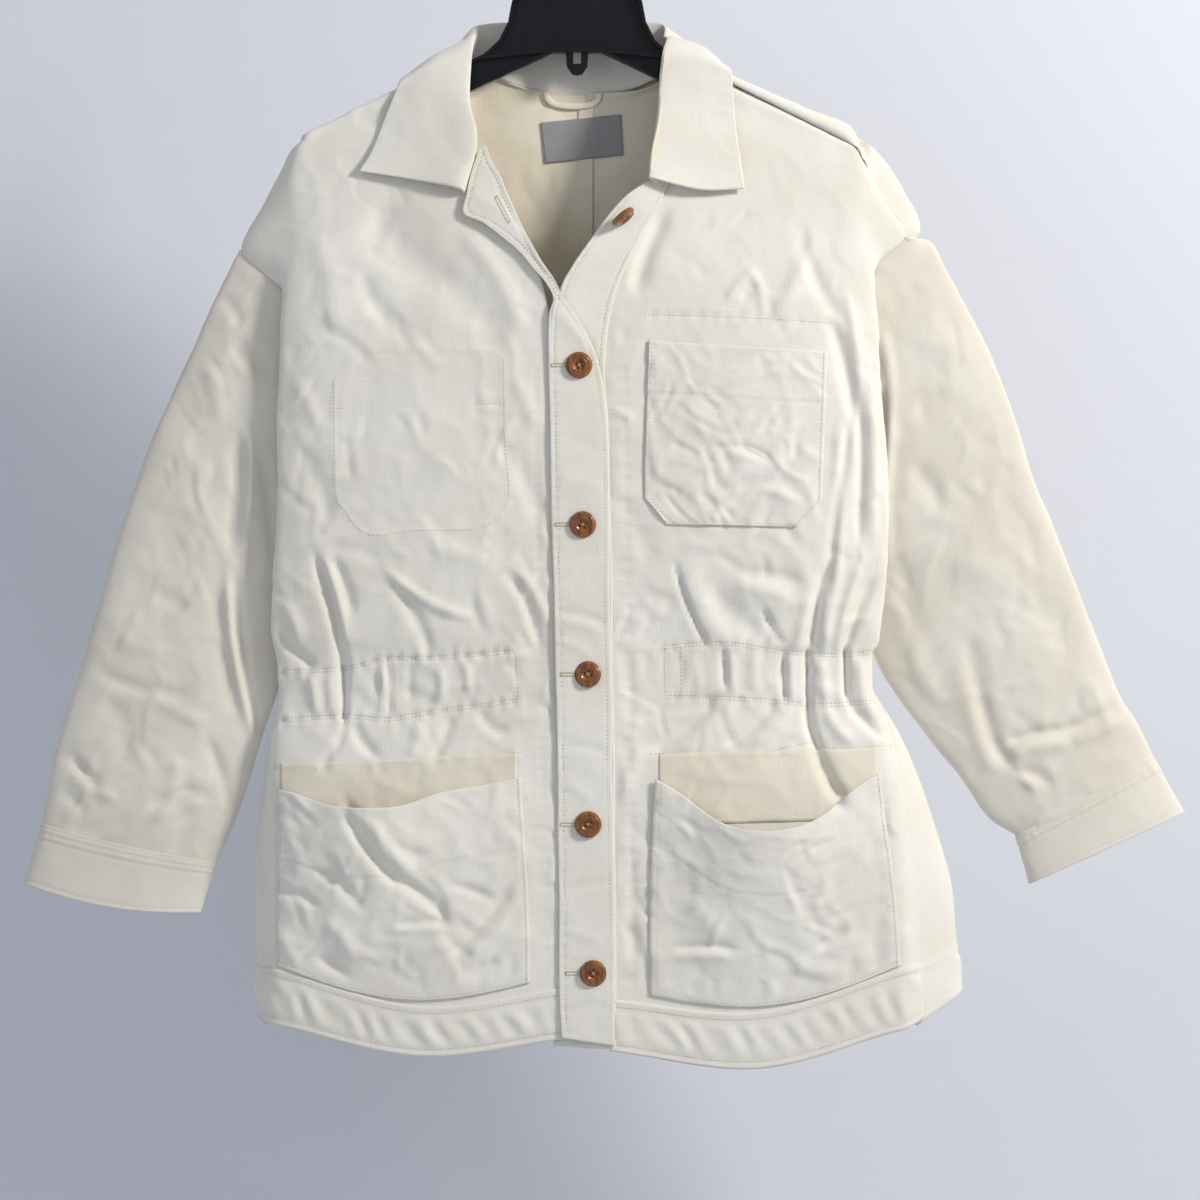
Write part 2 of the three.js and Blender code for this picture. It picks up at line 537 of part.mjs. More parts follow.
function ringOf(row) {
  const outer = vec(row.outerX, 0, row.outerZ);
  const inner = vec(row.innerX, 0, row.innerZ);
  const ring = [];
  for (let k = 0; k < SLEEVE_SIDES; k += 1) {
    const angle = (2 * Math.PI * k) / SLEEVE_SIDES;
    const across = (1 - Math.cos(angle)) / 2;
    const rise = Math.sign(Math.sin(angle)) * Math.abs(Math.sin(angle)) ** RING_FULLNESS;
    const point = between(outer, inner, across);
    point.y = (row.frontY + row.backY) / 2 - (rise * (row.backY - row.frontY)) / 2;
    point.z -= row.sag * Math.sin(Math.PI * across);
    ring.push(point);
  }
  return ring;
}

function alongLine(points, share) {
  const lengths = [0];
  points.slice(1).forEach((p, i) => lengths.push(lengths[i] + p.distanceTo(points[i])));
  const goal = share * lengths[lengths.length - 1];
  const last = lengths.findIndex((length, i) => i > 0 && goal <= length);
  const i = last < 0 ? points.length - 1 : last;
  return between(points[i - 1], points[i], (goal - lengths[i - 1]) / (lengths[i] - lengths[i - 1]));
}

// The sleeve head follows the armhole: down the front's edge, round the underarm and up the back's edge.
// It stands out from the seam and a little below it and behind the front's edge, with room for two walls
const HEAD_OUT = 0.7;
const HEAD_DROP = 1.1;
const HEAD_BEHIND = 1.6;
const HEAD_TIP_Y = 0.5;
function sleeveHead(frontRows, backRows, toSide) {
  const ends = (rows) => ARMHOLE_LEVELS.map((level) => {
    const row = rows.find((other) => other.level === level);
    return row.endY === ON_SEAM ? seamAt(frontRows, row.endZ) : vec(row.endX, row.endY, row.endZ);
  }).reverse();
  const frontEdge = ends(frontRows);
  const backEdge = ends(backRows);
  const ring = [];
  for (let k = 0; k < SLEEVE_SIDES; k += 1) {
    const angle = (2 * Math.PI * k) / SLEEVE_SIDES;
    const across = (1 - Math.cos(angle)) / 2;
    const inFront = k <= SLEEVE_SIDES / 2;
    const point = alongLine(inFront ? frontEdge : backEdge, across);
    const turned = Math.sin(Math.PI * across);
    point.x += toSide * (HEAD_OUT + (inFront ? 0 : HEAD_OUT));
    point.z -= HEAD_DROP * (1 + across);
    point.y += inFront ? HEAD_BEHIND * turned : 0;
    ring.push(point);
  }
  ring[0].y = frontEdge[0].y + HEAD_TIP_Y;
  return ring;
}

// The first rings take up the bow of the armhole, less at each level
const HEAD_EASE = [0.62, 0.34, 0.14];
function sleeveGrid(rows, frontRows, backRows, toSide) {
  const head = sleeveHead(frontRows, backRows, toSide);
  const straight = ringOf({ ...rows[0], outerX: head[0].x, outerZ: head[0].z });
  const bow = head.map((p, k) => {
    const across = (1 - Math.cos((2 * Math.PI * k) / SLEEVE_SIDES)) / 2;
    return p.clone().sub(straight[k]).multiplyScalar(Math.sin(Math.PI * across));
  });
  const rings = rows.map(ringOf);
  HEAD_EASE.forEach((share, i) => rings[i].forEach((p, k) => p.addScaledVector(bow[k], share)));
  return [head, ...rings];
}

const rightSleeveGrid = sleeveGrid(RIGHT_SLEEVE, RIGHT_FRONT, RIGHT_BACK, -1);
const leftSleeveGrid = sleeveGrid(LEFT_SLEEVE, LEFT_FRONT, LEFT_BACK, 1);

function tubeFacing(grid) {
  const centres = grid.map((ring) => {
    const centre = new THREE.Vector3();
    ring.forEach((p) => centre.add(p));
    return centre.divideScalar(ring.length);
  });
  return (point) => {
    const nearest = centres.reduce((best, c) => (c.distanceTo(point) < best.distanceTo(point) ? c : best));
    return point.clone().sub(nearest).normalize();
  };
}

function addTube(name, grid, thickness) {
  addPiece(name, clothWall(grid, thickness, { closed: true, facing: tubeFacing(grid) }), TWILL);
}

addTube('right_sleeve', rightSleeveGrid, CLOTH);
addTube('left_sleeve', leftSleeveGrid, CLOTH);
addTube('right_cuff', RIGHT_CUFF.map(ringOf), BAND_CLOTH);
addTube('left_cuff', LEFT_CUFF.map(ringOf), BAND_CLOTH);

// Collar: stand up to the roll, then the fall to its outer edge, from the right front round the back neck
const COLLAR_COLUMNS = [
  'seamX', 'seamZ', 'seamY', 'rollX', 'rollZ', 'rollY', 'midX', 'midZ', 'midY', 'edgeX', 'edgeZ', 'edgeY',
];
const COLLAR = table(COLLAR_COLUMNS, [
  [-87, -253, -29.5, -89, -251, -33, -127, -243, -28, -168, -236, -23],
  [-80, -221, -24.5, -77, -211, -28, -117, -216, -24, -159, -221, -19],
  [-85, -190, -19, -83, -181, -22, -113, -184, -19.5, -147, -191, -15],
  [-86, -166, -13.5, -82, -155, -14, -109, -158, -14, -140, -174, -12.5],
  [-86, -152, -10.5, -81, -143, -9, -107, -149, -11, -136, -165, -11],
  [-85, -147, 0, -80, -134, 0, -105, -142, 0, -132, -161, 0],
  [-82, -147.5, 9.5, -79, -128, 9, -103, -143, 11, -128, -163, 12],
  [-76, -150.5, 14, -78, -122, 14, -100, -146, 18, -122, -174, 18.5],
  [-59, -158.5, 17, -69, -119, 22, -73, -150, 29, -82, -184, 29],
  [-28, -169, 23.5, -32, -117, 27, -33, -148, 33, -36, -190, 33],
  [0, -170, 23.5, 0, -116.5, 28.5, 0, -147, 34.5, 0, -192, 34],
  [33, -168, 23, 38, -117, 27, 38, -148, 33, 40, -190, 33],
  [58, -159.5, 18, 65, -118.5, 22, 74, -149, 29, 84, -184, 30],
  [76, -151, 14, 68, -123, 14, 90, -138, 18, 121, -174, 19],
  [84, -147, 9.5, 67, -130, 8, 93, -138, 12, 119, -159, 12.5],
  [87, -146, 0, 69, -132, 0, 95, -137, 0, 117, -155, 0],
  [86, -150, -10.8, 66, -144, -13, 95, -146, -12, 119, -158, -12.8],
  [83, -164, -14, 64, -160, -14.5, 95, -158, -15.5, 120, -170, -16],
  [75, -200, -22, 62, -192, -25, 92, -192, -22, 122, -200, -19],
  [68, -227, -29, 56, -227, -32, 91, -227, -28, 126, -227, -24],
  [58, -244, -34, 55, -242, -37, 95, -251, -32, 129, -250, -27],
]);
const COLLAR_STEPS = [3, 2, 3];

function collarGrid() {
  return COLLAR.map((row) => {
    const seam = vec(row.seamX, row.seamY, row.seamZ);
    const roll = vec(row.rollX, row.rollY, row.rollZ);
    const mid = vec(row.midX, row.midY, row.midZ);
    const edge = vec(row.edgeX, row.edgeY, row.edgeZ);
    return smoothRow([beyond(seam, roll), seam, roll, mid, edge, beyond(edge, mid)], COLLAR_STEPS);
  });
}
const NECK_CENTRE = vec(0, 0, -210);
addPiece('collar', clothWall(collarGrid(), COLLAR_CLOTH, {
  facing: (p) => p.clone().sub(NECK_CENTRE).normalize(),
}), TWILL);

// Strips between two edges: plackets, the hang loop and the like
function stripGrid(rows, columns) {
  return rows.map((row) => {
    const left = vec(row.leftX, row.leftY, row.leftZ);
    const right = vec(row.rightX, row.rightY, row.rightZ);
    return Array.from({ length: columns }, (_, j) => between(left, right, j / (columns - 1)));
  });
}
const STRIP_COLUMNS = ['leftX', 'leftZ', 'leftY', 'rightX', 'rightZ', 'rightY'];
const RIGHT_PLACKET = table(STRIP_COLUMNS, [
  [-12, -902, -39.5, 29, -908, -39.5],
  [-14, -862, -39.5, 29, -868, -39.5],
  [-14, -797, -39.5, 29, -797, -39.5],
  [-15, -743, -39.5, 28, -743, -39.5],
  [-15, -701, -39.5, 27, -701, -39.5],
  [-16, -649, -38.5, 27, -649, -38.5],
  [-17, -612, -38, 26, -612, -38],
  [-18, -558, -38.5, 25, -558, -38.5],
  [-20, -500, -39, 25, -500, -39],
  [-21, -431, -39.5, 24, -440, -39],
  [-22, -395, -40.4, 19, -395, -39.5],
  [-22, -378, -40.6, 13, -374, -40],
  [-22, -361, -40.8, 3, -354, -40.4],
  [-21, -345, -41, -6, -340, -41],
  [-18, -335, -41.2, -12, -331, -41.2],
  [-23, -324, -41, -18, -319, -41],
  [-34, -311, -40.4, -27, -306, -40.6],
  [-44, -299, -39.4, -35, -292, -39.6],
  [-57, -288, -38, -42, -279, -37.5],
  [-73, -276, -35.5, -48, -266, -35],
  [-87.5, -269, -32.5, -54, -253, -32],
  [-85.5, -256, -30.5, -59, -240, -30],
  [-80, -233, -27.5, -66, -228, -27.5],
  [-74.5, -218, -26.5, -70, -216, -26.5],
]);
const LEFT_PLACKET = table(STRIP_COLUMNS, [
  [-18, -908, -33, 30.1, -911, -34],
  [-18, -866, -33, 30.1, -871, -34],
  [-18, -797, -33, 30.1, -800, -34],
  [-18, -743, -33, 29.1, -746, -34],
  [-18, -701, -33, 29.1, -702, -34],
  [-18, -649, -32, 28.1, -648, -33],
  [-18, -610, -32, 27.1, -610, -33],
  [-18, -558, -32, 27.1, -558, -33],
  [-18, -474, -33, 25.1, -474, -33],
  [-18, -431, -34, 24.1, -431, -33],
  [-17, -390, -35, 21.1, -390, -33],
  [-15, -352, -36, 25, -349, -34],
  [-13, -328, -36.5, 32, -323, -33.5],
  [-5, -312, -36.5, 41, -303, -32.5],
  [8, -293, -36.5, 51, -283, -30.1],
  [25, -270, -35.5, 63, -263, -28.5],
  [40, -254, -34, 69, -249, -26.5],
  [54, -245, -31, 73, -238, -24.4],
]);
const STRIP_POINTS = 5;
const rightPlacketGrid = stripGrid(RIGHT_PLACKET, STRIP_POINTS);
const leftPlacketGrid = stripGrid(LEFT_PLACKET, STRIP_POINTS);
addPiece('placket_right', clothWall(rightPlacketGrid, BAND_CLOTH), TWILL);
addPiece('placket_left', clothWall(leftPlacketGrid, BAND_CLOTH), TWILL);

// The depth of a panel's face at a place seen from the front: its nearest layer, or else its nearest corner
function depthOn(grids, x, z) {
  let best = null;
  let nearest = null;
  for (const grid of grids) {
    for (let i = 0; i < grid.length - 1; i += 1) {
      for (let j = 0; j < grid[0].length - 1; j += 1) {
        const corners = [grid[i][j], grid[i][j + 1], grid[i + 1][j + 1], grid[i + 1][j]];
        for (const [a, b, c] of [corners.slice(0, 3), [corners[0], corners[2], corners[3]]]) {
          const area = (b.x - a.x) * (c.z - a.z) - (c.x - a.x) * (b.z - a.z);
          const u = ((x - a.x) * (c.z - a.z) - (c.x - a.x) * (z - a.z)) / area;
          const v = ((b.x - a.x) * (z - a.z) - (x - a.x) * (b.z - a.z)) / area;
          if (u >= 0 && v >= 0 && u + v <= 1) {
            const y = a.y + u * (b.y - a.y) + v * (c.y - a.y);
            best = best === null ? y : Math.min(best, y);
          }
        }
        const away = Math.hypot(corners[0].x - x, corners[0].z - z);
        if (nearest === null || away < nearest.away) {
          nearest = { away, y: corners[0].y };
        }
      }
    }
  }
  return best === null ? nearest.y : best;
}

// A patch on a panel: rows between two edges, each point set off the panel by the layer gap and its lift
const PATCH_COLUMNS = ['leftX', 'leftZ', 'rightX', 'rightZ', 'sag'];
function patchGrid(rows, columns, depthAt) {
  return rows.map((row, i) => Array.from({ length: columns }, (_, j) => {
    const across = j / (columns - 1);
    const x = row.leftX + (row.rightX - row.leftX) * across;
    const z = row.leftZ + (row.rightZ - row.leftZ) * across - row.sag * Math.sin(Math.PI * across);
    return vec(x, depthAt(x, z, i / (rows.length - 1), across), z);
  }));
}

const LEFT_CHEST_POCKET = table(PATCH_COLUMNS, [
  [69, -508, 168, -510, 0],
  [60, -497, 179, -499, 0],
  [52, -487, 188, -490, 0],
  [52, -460, 189, -462, 0],
  [53, -430, 190, -434, 0],
  [54, -398, 191, -404, 0],
  [55, -367, 192, -375, 0],
]);
const RIGHT_CHEST_POCKET = table(PATCH_COLUMNS, [
  [-163, -514, -70, -508, 0],
  [-174, -501, -62, -498, 0],
  [-184, -490, -55, -487, 0],
  [-185, -450, -56, -450, 0],
  [-186, -416, -57, -412, 0],
  [-169, -375, -56, -375, 0],
]);
const rightFace = withoutGuides(rightFront.panel);
const leftFace = withoutGuides(leftFront.panel);
const backFaces = [withoutGuides(rightBack.panel), withoutGuides(leftBack.panel)];
const onRight = (x, z) => depthOn([rightFace], x, z);
const onLeft = (x, z) => depthOn([leftFace], x, z);
addPiece('chest_pocket_left', clothWall(
  patchGrid(LEFT_CHEST_POCKET, 10, (x, z) => onLeft(x, z) - PATCH_GAP - CLOTH), CLOTH), TWILL);
addPiece('chest_pocket_right', clothWall(
  patchGrid(RIGHT_CHEST_POCKET, 9, (x, z) => onRight(x, z) + CLOTH + INSIDE_PATCH_GAP), CLOTH), TWILL);

// Lower pockets stand away from the body at their mouths
const RIGHT_LOWER_POCKET = table(PATCH_COLUMNS, [
  [-231, -846, -36, -859, 20],
  [-231, -822, -36, -832, 16],
  [-231, -790, -37, -798, 11],
  [-230, -760, -39, -762, 9],
  [-230, -735, -41, -732, 9],
  [-231, -711, -43, -702, 9],
]);
const LEFT_LOWER_POCKET = table(PATCH_COLUMNS, [
  [56, -869, 248, -846, 19],
  [56, -835, 247, -822, 17],
  [56, -800, 245, -796, 13],
  [57, -768, 241, -762, 16],
  [58, -737, 236, -730, 22],
  [60, -703, 233, -698, 26],
]);
const POCKET_GAPE = {
  right: { x: -157, width: 52, depth: 11, fade: 1.6 },
  left: { x: 146, width: 62, depth: 13, fade: 1.6 },
};
const POCKET_CLEAR = 0.9;
function gapeAt(gape, x, up) {
  const across = (x - gape.x) / gape.width;
  return gape.depth * Math.exp(-across * across) * up ** gape.fade;
}
addPiece('lower_pocket_right', clothWall(patchGrid(RIGHT_LOWER_POCKET, 12, (x, z, up) => (
  onRight(x, z) - POCKET_CLEAR - CLOTH - gapeAt(POCKET_GAPE.right, x, up))), CLOTH), TWILL);
addPiece('lower_pocket_left', clothWall(patchGrid(LEFT_LOWER_POCKET, 12, (x, z, up) => (
  onLeft(x, z) - POCKET_CLEAR - CLOTH - gapeAt(POCKET_GAPE.left, x, up))), CLOTH), TWILL);

// Neck label and hang loop, on the inside of the back
const LABEL_CLOTH = 0.9;
const LABEL = table(PATCH_COLUMNS, [
  [-24.6, -227.2, 35.4, -221, 0],
  [-26.3, -211.4, 34.6, -205.4, 0],
  [-28, -195.6, 33.9, -189.4, 0],
]);
const insideBack = (x, z) => depthOn(backFaces, x, z) - CLOTH;
addPiece('neck_label', clothWall(
  patchGrid(LABEL, 6, (x, z) => insideBack(x, z) - LAYER_GAP - LABEL_CLOTH), LABEL_CLOTH), WOVEN_LABEL);

const LOOP_WIDTH = 5;
const LOOP_CLOTH = 1.5;
const LOOP_PATH = [[-24, -172.5], [-23, -177], [-18, -181], [-3, -183], [12, -181], [16, -177], [17, -172.5]];
const LOOP_OFF = 0.95;
const loopGrid = LOOP_PATH.map(([x, z], i) => {
  const before = LOOP_PATH[Math.max(i - 1, 0)];
  const after = LOOP_PATH[Math.min(i + 1, LOOP_PATH.length - 1)];
  const run = new THREE.Vector2(after[0] - before[0], after[1] - before[1]).normalize();
  const across = new THREE.Vector2(-run.y, run.x).multiplyScalar(LOOP_WIDTH / 2);
  return [1, -1].map((side) => {
    const px = x + side * across.x;
    const pz = z + side * across.y;
    return vec(px, insideBack(x, z) - LOOP_OFF - LOOP_CLOTH, pz);
  });
});
addPiece('hang_loop', clothWall(loopGrid, LOOP_CLOTH), TWILL);

// Horn buttons: a raised rim round a dished middle, on the right placket
const BUTTON_PROFILE = table(['radius', 'height'], [
  [0, 0], [0.75, 0], [1, 0.5], [0.9, 1], [0.68, 0.85], [0, 0.5],
]);
function buttonGeometry() {
  const profile = BUTTON_PROFILE.map(({ radius, height }) => (
    new THREE.Vector2(radius * BUTTON_RADIUS, height * BUTTON_THICKNESS)));
  return welded(new THREE.LatheGeometry(profile, BUTTON_SEGMENTS));
}
const BUTTON_PLACES = [[1.5, -386], [4.4, -508], [8.5, -623], [8.5, -738], [12.3, -852]];
const BUTTON_OFF = 0.35;
BUTTON_PLACES.forEach(([x, z], index) => {
  const geometry = buttonGeometry();
  geometry.rotateX(Math.PI);
  geometry.translate(x, depthOn([rightPlacketGrid], x, z) - BUTTON_OFF, z);
  addPiece(`button_${index + 1}`, geometry, HORN);
});
// The neck button has fallen over on its thread and stands nearly edge-on on the open left placket
const NECK_BUTTON = { x: 36, z: -273, axis: vec(0.61, -0.26, -0.75).normalize() };
const neckButton = buttonGeometry();
neckButton.translate(0, -BUTTON_THICKNESS / 2, 0);
neckButton.applyQuaternion(new THREE.Quaternion().setFromUnitVectors(vec(0, 1, 0), NECK_BUTTON.axis));
neckButton.translate(NECK_BUTTON.x, 0, NECK_BUTTON.z);
const neckPoints = neckButton.getAttribute('position');
let seatY = Infinity;
for (let i = 0; i < neckPoints.count; i += 1) {
  const below = depthOn([leftPlacketGrid], neckPoints.getX(i), neckPoints.getZ(i));
  seatY = Math.min(seatY, below - neckPoints.getY(i));
}
neckButton.translate(0, seatY - BUTTON_OFF, 0);
addPiece('button_neck', neckButton, HORN);

// Hanger: a flanged web with two arms, a lug with a slot below and a round hook above
const ARM_LINE = { x: 90, z: -153.3, slope: 0.462, endX: 203 };
function armTop(x) {
  return ARM_LINE.z - (x - ARM_LINE.x) * ARM_LINE.slope;
}
const PLATE_TOP = { x: 26, z: -69 };
const PLATE_SIDE = [[50, -104], [53, -120], [60, -134], [72, -145], [ARM_LINE.x, ARM_LINE.z]];
const ARM_TIP = [[ARM_LINE.endX, armTop(ARM_LINE.endX)], [207, -211], [205, -219]];
const ARM_UNDER = [[150, -196], [82, -173], [18, -143]];
const LUG = { halfWidth: 9, width: 6.4, rootZ: -139, neckZ: -154, toeHalf: 4, toeZ: -160, tipZ: -161 };
const LUG_SLOT = { half: 3, top: -143, bottom: -152 };
const RIB = [[71, -148.2], [17.4, -142.7]];
const BRIDGE = { half: 19.3, top: -139.1, bottom: -143.6 };
const TOP_CAP = { inset: 0.4, below: 1.3, half: 9.3, rise: 16 };

// A flat outline in X and Z, drawn out to a width in Y about the middle
function slab(outline, width) {
  const shape = new THREE.Shape(outline.map(([x, z]) => new THREE.Vector2(x, z)));
  const geometry = new THREE.ExtrudeGeometry(shape, { depth: width, bevelEnabled: false });
  geometry.rotateX(Math.PI / 2);
  geometry.translate(0, width / 2, 0);
  return solidOf(geometry);
}

// A flange: a strip of even thickness along one side of a line, standing a little past the web's edge
const FLANGE_LIP = 0.25;
function flange(line, thickness, width) {
  const left = [];
  const right = [];
  line.forEach(([x, z], i) => {
    const [bx, bz] = line[Math.max(i - 1, 0)];
    const [ax, az] = line[Math.min(i + 1, line.length - 1)];
    const length = Math.hypot(ax - bx, az - bz);
    const nx = -(az - bz) / length;
    const nz = (ax - bx) / length;
    left.push([x - nx * Math.sign(thickness) * FLANGE_LIP, z - nz * Math.sign(thickness) * FLANGE_LIP]);
    right.push([x + nx * thickness, z + nz * thickness]);
  });
  return slab([...left, ...right.reverse()], width);
}

function mirrored(line) {
  return line.map(([x, z]) => [-x, z]);
}

const halfOutline = [[PLATE_TOP.x, PLATE_TOP.z], ...PLATE_SIDE, ...ARM_TIP, ...ARM_UNDER];
const webOutline = [...halfOutline, ...mirrored(halfOutline).reverse()];
let hanger = slab(webOutline, HANGER_WEB);
const upper = [[PLATE_TOP.x, PLATE_TOP.z], ...PLATE_SIDE, ...ARM_TIP];
const lower = [...ARM_TIP.slice(-1), ...ARM_UNDER];
for (const line of [upper, lower, RIB]) {
  hanger = hanger.add(flange(line, -HANGER_FLANGE, HANGER_FLANGE_WIDTH));
  hanger = hanger.add(flange(mirrored(line), HANGER_FLANGE, HANGER_FLANGE_WIDTH));
}
const box = (half, top, bottom) => [[-half, top], [half, top], [half, bottom], [-half, bottom]];
hanger = hanger.add(slab(box(BRIDGE.half, BRIDGE.top, BRIDGE.bottom), HANGER_FLANGE_WIDTH));
const lugSide = [[LUG.halfWidth, LUG.rootZ], [LUG.halfWidth - 1, LUG.neckZ], [LUG.toeHalf, LUG.toeZ]];
hanger = hanger.add(slab([...lugSide, [0, LUG.tipZ], ...mirrored(lugSide).reverse()], LUG.width));
hanger = hanger.subtract(slab(box(LUG_SLOT.half, LUG_SLOT.top, LUG_SLOT.bottom), HANGER_FLANGE_WIDTH));
const capSide = [
  [PLATE_TOP.x - TOP_CAP.inset, PLATE_TOP.z - TOP_CAP.below], [TOP_CAP.half, PLATE_TOP.z + TOP_CAP.rise],
];
hanger = hanger.add(slab([...capSide, ...mirrored(capSide).reverse()], HANGER_FLANGE_WIDTH - 1));

const HOOK_RADIUS = HOOK_INNER_RADIUS + HOOK_BAR_RADIUS;
const HOOK_CENTRE_Z = -HOOK_INNER_RADIUS;
const HOOK_FROM = -0.9;
const HOOK_TO = 3.5;
const HOOK_TURNS = 12;
const HOOK_ROOT = [[0, 4], [2, 18]];
const hookPath = HOOK_ROOT.map(([x, rise]) => vec(x, 0, PLATE_TOP.z + rise));
for (let k = 0; k <= HOOK_TURNS; k += 1) {
  const angle = HOOK_FROM + ((HOOK_TO - HOOK_FROM) * k) / HOOK_TURNS;
  hookPath.push(vec(HOOK_RADIUS * Math.cos(angle), 0, HOOK_CENTRE_Z + HOOK_RADIUS * Math.sin(angle)));
}
const barSection = new THREE.Shape();
barSection.absarc(0, 0, HOOK_BAR_RADIUS, 0, 2 * Math.PI, false);
const hook = new THREE.ExtrudeGeometry(barSection, {
  steps: 24,
  curveSegments: 8,
  bevelEnabled: false,
  extrudePath: new THREE.CatmullRomCurve3(hookPath, false, 'centripetal'),
});
hanger = hanger.add(solidOf(hook));
addPiece('hanger', geometryOf(hanger), HANGER_PLASTIC);

export default jacket;
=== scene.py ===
import math

import bpy
import numpy as np
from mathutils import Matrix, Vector
from mathutils.bvhtree import BVHTree


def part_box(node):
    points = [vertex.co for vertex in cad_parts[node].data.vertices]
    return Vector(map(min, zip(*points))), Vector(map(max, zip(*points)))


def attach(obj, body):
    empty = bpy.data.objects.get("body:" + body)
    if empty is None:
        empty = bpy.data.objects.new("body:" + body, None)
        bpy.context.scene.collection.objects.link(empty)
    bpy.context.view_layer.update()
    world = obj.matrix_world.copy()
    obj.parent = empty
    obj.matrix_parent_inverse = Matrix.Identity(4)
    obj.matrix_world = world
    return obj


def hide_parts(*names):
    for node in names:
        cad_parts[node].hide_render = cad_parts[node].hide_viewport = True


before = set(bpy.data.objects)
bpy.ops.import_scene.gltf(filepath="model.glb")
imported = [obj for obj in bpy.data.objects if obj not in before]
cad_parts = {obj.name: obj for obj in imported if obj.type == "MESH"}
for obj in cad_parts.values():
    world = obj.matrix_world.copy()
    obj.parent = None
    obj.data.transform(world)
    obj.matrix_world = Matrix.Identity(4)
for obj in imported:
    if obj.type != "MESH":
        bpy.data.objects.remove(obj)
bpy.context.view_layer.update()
print("frame loaded:", len(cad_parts), "nodes")

picturePoint = 0.77


def at(px, py):
    # a place in the picture as x and z on the jacket
    return (px - 577) * picturePoint, -(py + 135) * picturePoint


def table(columns, rows):
    return [dict(zip(columns, row)) for row in rows]


def vec(x, y, z):
    return np.array([x, y, z], float)


def unit(v):
    return v / np.maximum(np.linalg.norm(v, axis=-1, keepdims=True), 1e-9)


def smooth(t):
    t = np.clip(t, 0, 1)
    return t * t * (3 - 2 * t)


def bell(t, middle, width):
    # 1 in the middle, and softly down to nought on both sides
    return np.exp(-((t - middle) / width) ** 2)


def runOf(points):
    # how far along a line each of its points is
    return np.concatenate([[0], np.cumsum(np.linalg.norm(np.diff(points, axis=0), axis=1))])


def stretch(p0, p1, p2, p3, steps):
    # one stretch of a smooth line from p1 to p2, its last point left out
    d0, d1, d2 = (np.maximum(np.linalg.norm(b - a, axis=-1, keepdims=True), 1e-3) ** 0.5
                  for a, b in ((p0, p1), (p1, p2), (p2, p3)))
    t1 = ((p1 - p0) / d0 - (p2 - p0) / (d0 + d1) + (p2 - p1) / d1) * d1
    t2 = ((p2 - p1) / d1 - (p3 - p1) / (d1 + d2) + (p3 - p2) / d2) * d1
    return [p1 + t1 * t + (-3 * p1 + 3 * p2 - 2 * t1 - t2) * t ** 2 + (2 * p1 - 2 * p2 + t1 + t2) * t ** 3
            for t in np.arange(steps) / steps]


def line(controls, steps):
    # a smooth line through the controls; the first and last only steer it
    points = []
    for s in range(1, len(controls) - 2):
        points += stretch(*controls[s - 1:s + 3], steps[s - 1])
    return np.array(points + [controls[-2]])


def rise(rows, spacing):
    # a smooth surface through rows of points, with new rows a set distance apart
    rows = np.array(rows, float)
    rows = np.concatenate([[2 * rows[0] - rows[1]], rows, [2 * rows[-1] - rows[-2]]])
    points, starts = [], []
    for s in range(1, len(rows) - 2):
        size = np.linalg.norm(rows[s + 1] - rows[s], axis=-1)
        steps = max(1, round(float(np.percentile(size, 70)) / spacing))
        starts.append(len(points))
        points += stretch(*rows[s - 1:s + 3], steps)
    return np.array(points + [rows[-2]]), starts + [len(points)]


def normals(grid, closed=False):
    along = np.roll(grid, -1, 1) - np.roll(grid, 1, 1) if closed else np.gradient(grid, axis=1)
    return unit(np.cross(along, np.gradient(grid, axis=0)))


def outward(grid, towards, closed=False):
    n = normals(grid, closed)
    return n if (n * towards).sum() > 0 else -n


# small random fields, the same at each run
dice = np.random.default_rng(7)
slopes = unit(dice.normal(size=(64, 64, 2)))


def wobble(x, z, size, shift=0):
    # a soft random field from about -1 to 1, with features of this size
    u, v = np.asarray(x) / size + 11.3 * shift + 100, np.asarray(z) / size - 7.9 * shift + 300
    i, j = np.floor(u).astype(int), np.floor(v).astype(int)
    fu, fv = u - i, v - j

    def corner(a, b):
        return (slopes[(i + a) % 64, (j + b) % 64] * np.stack([fu - a, fv - b], -1)).sum(-1)

    su, sv = smooth(fu), smooth(fv)
    low = corner(0, 0) * (1 - su) + corner(1, 0) * su
    high = corner(0, 1) * (1 - su) + corner(1, 1) * su
    return 1.5 * (low * (1 - sv) + high * sv)


# the dents of washed cotton, each with how high it stands and how wide it is, and the drift that bends them
dents = {"soft": (0.55, 52), "ridge": (0.42, 34), "small": (0.22, 15), "fine": (0.07, 6.5),
         "drift": (9, 40)}


def crumple(x, z, shift=0):
    # shallow dents with soft ridges between them
    def field(kind, x, z, turn):
        high, size = dents[kind]
        return high * wobble(x, z, size, shift + turn)

    wx = x + field("drift", x, z, 1)
    wz = z + field("drift", x, z, 2)
    high, size = dents["ridge"]
    ridges = 1 - np.abs(wobble(wx, wz, size, shift + 3)) * 2
    return (field("soft", x, z, 0) + high * ridges * np.abs(ridges)
            + field("small", wx, wz, 4) + field("fine", wx, wz, 5))


def beat(s, drift, size, pitch, shift):
    # puckers a pitch apart along a seam, drifting a little
    return np.sin(2 * math.pi * (s + drift * wobble(s, 0 * s, size, shift)) / pitch)


creaseColumns = ["x0", "y0", "x1", "y1", "bow", "wide", "high"]


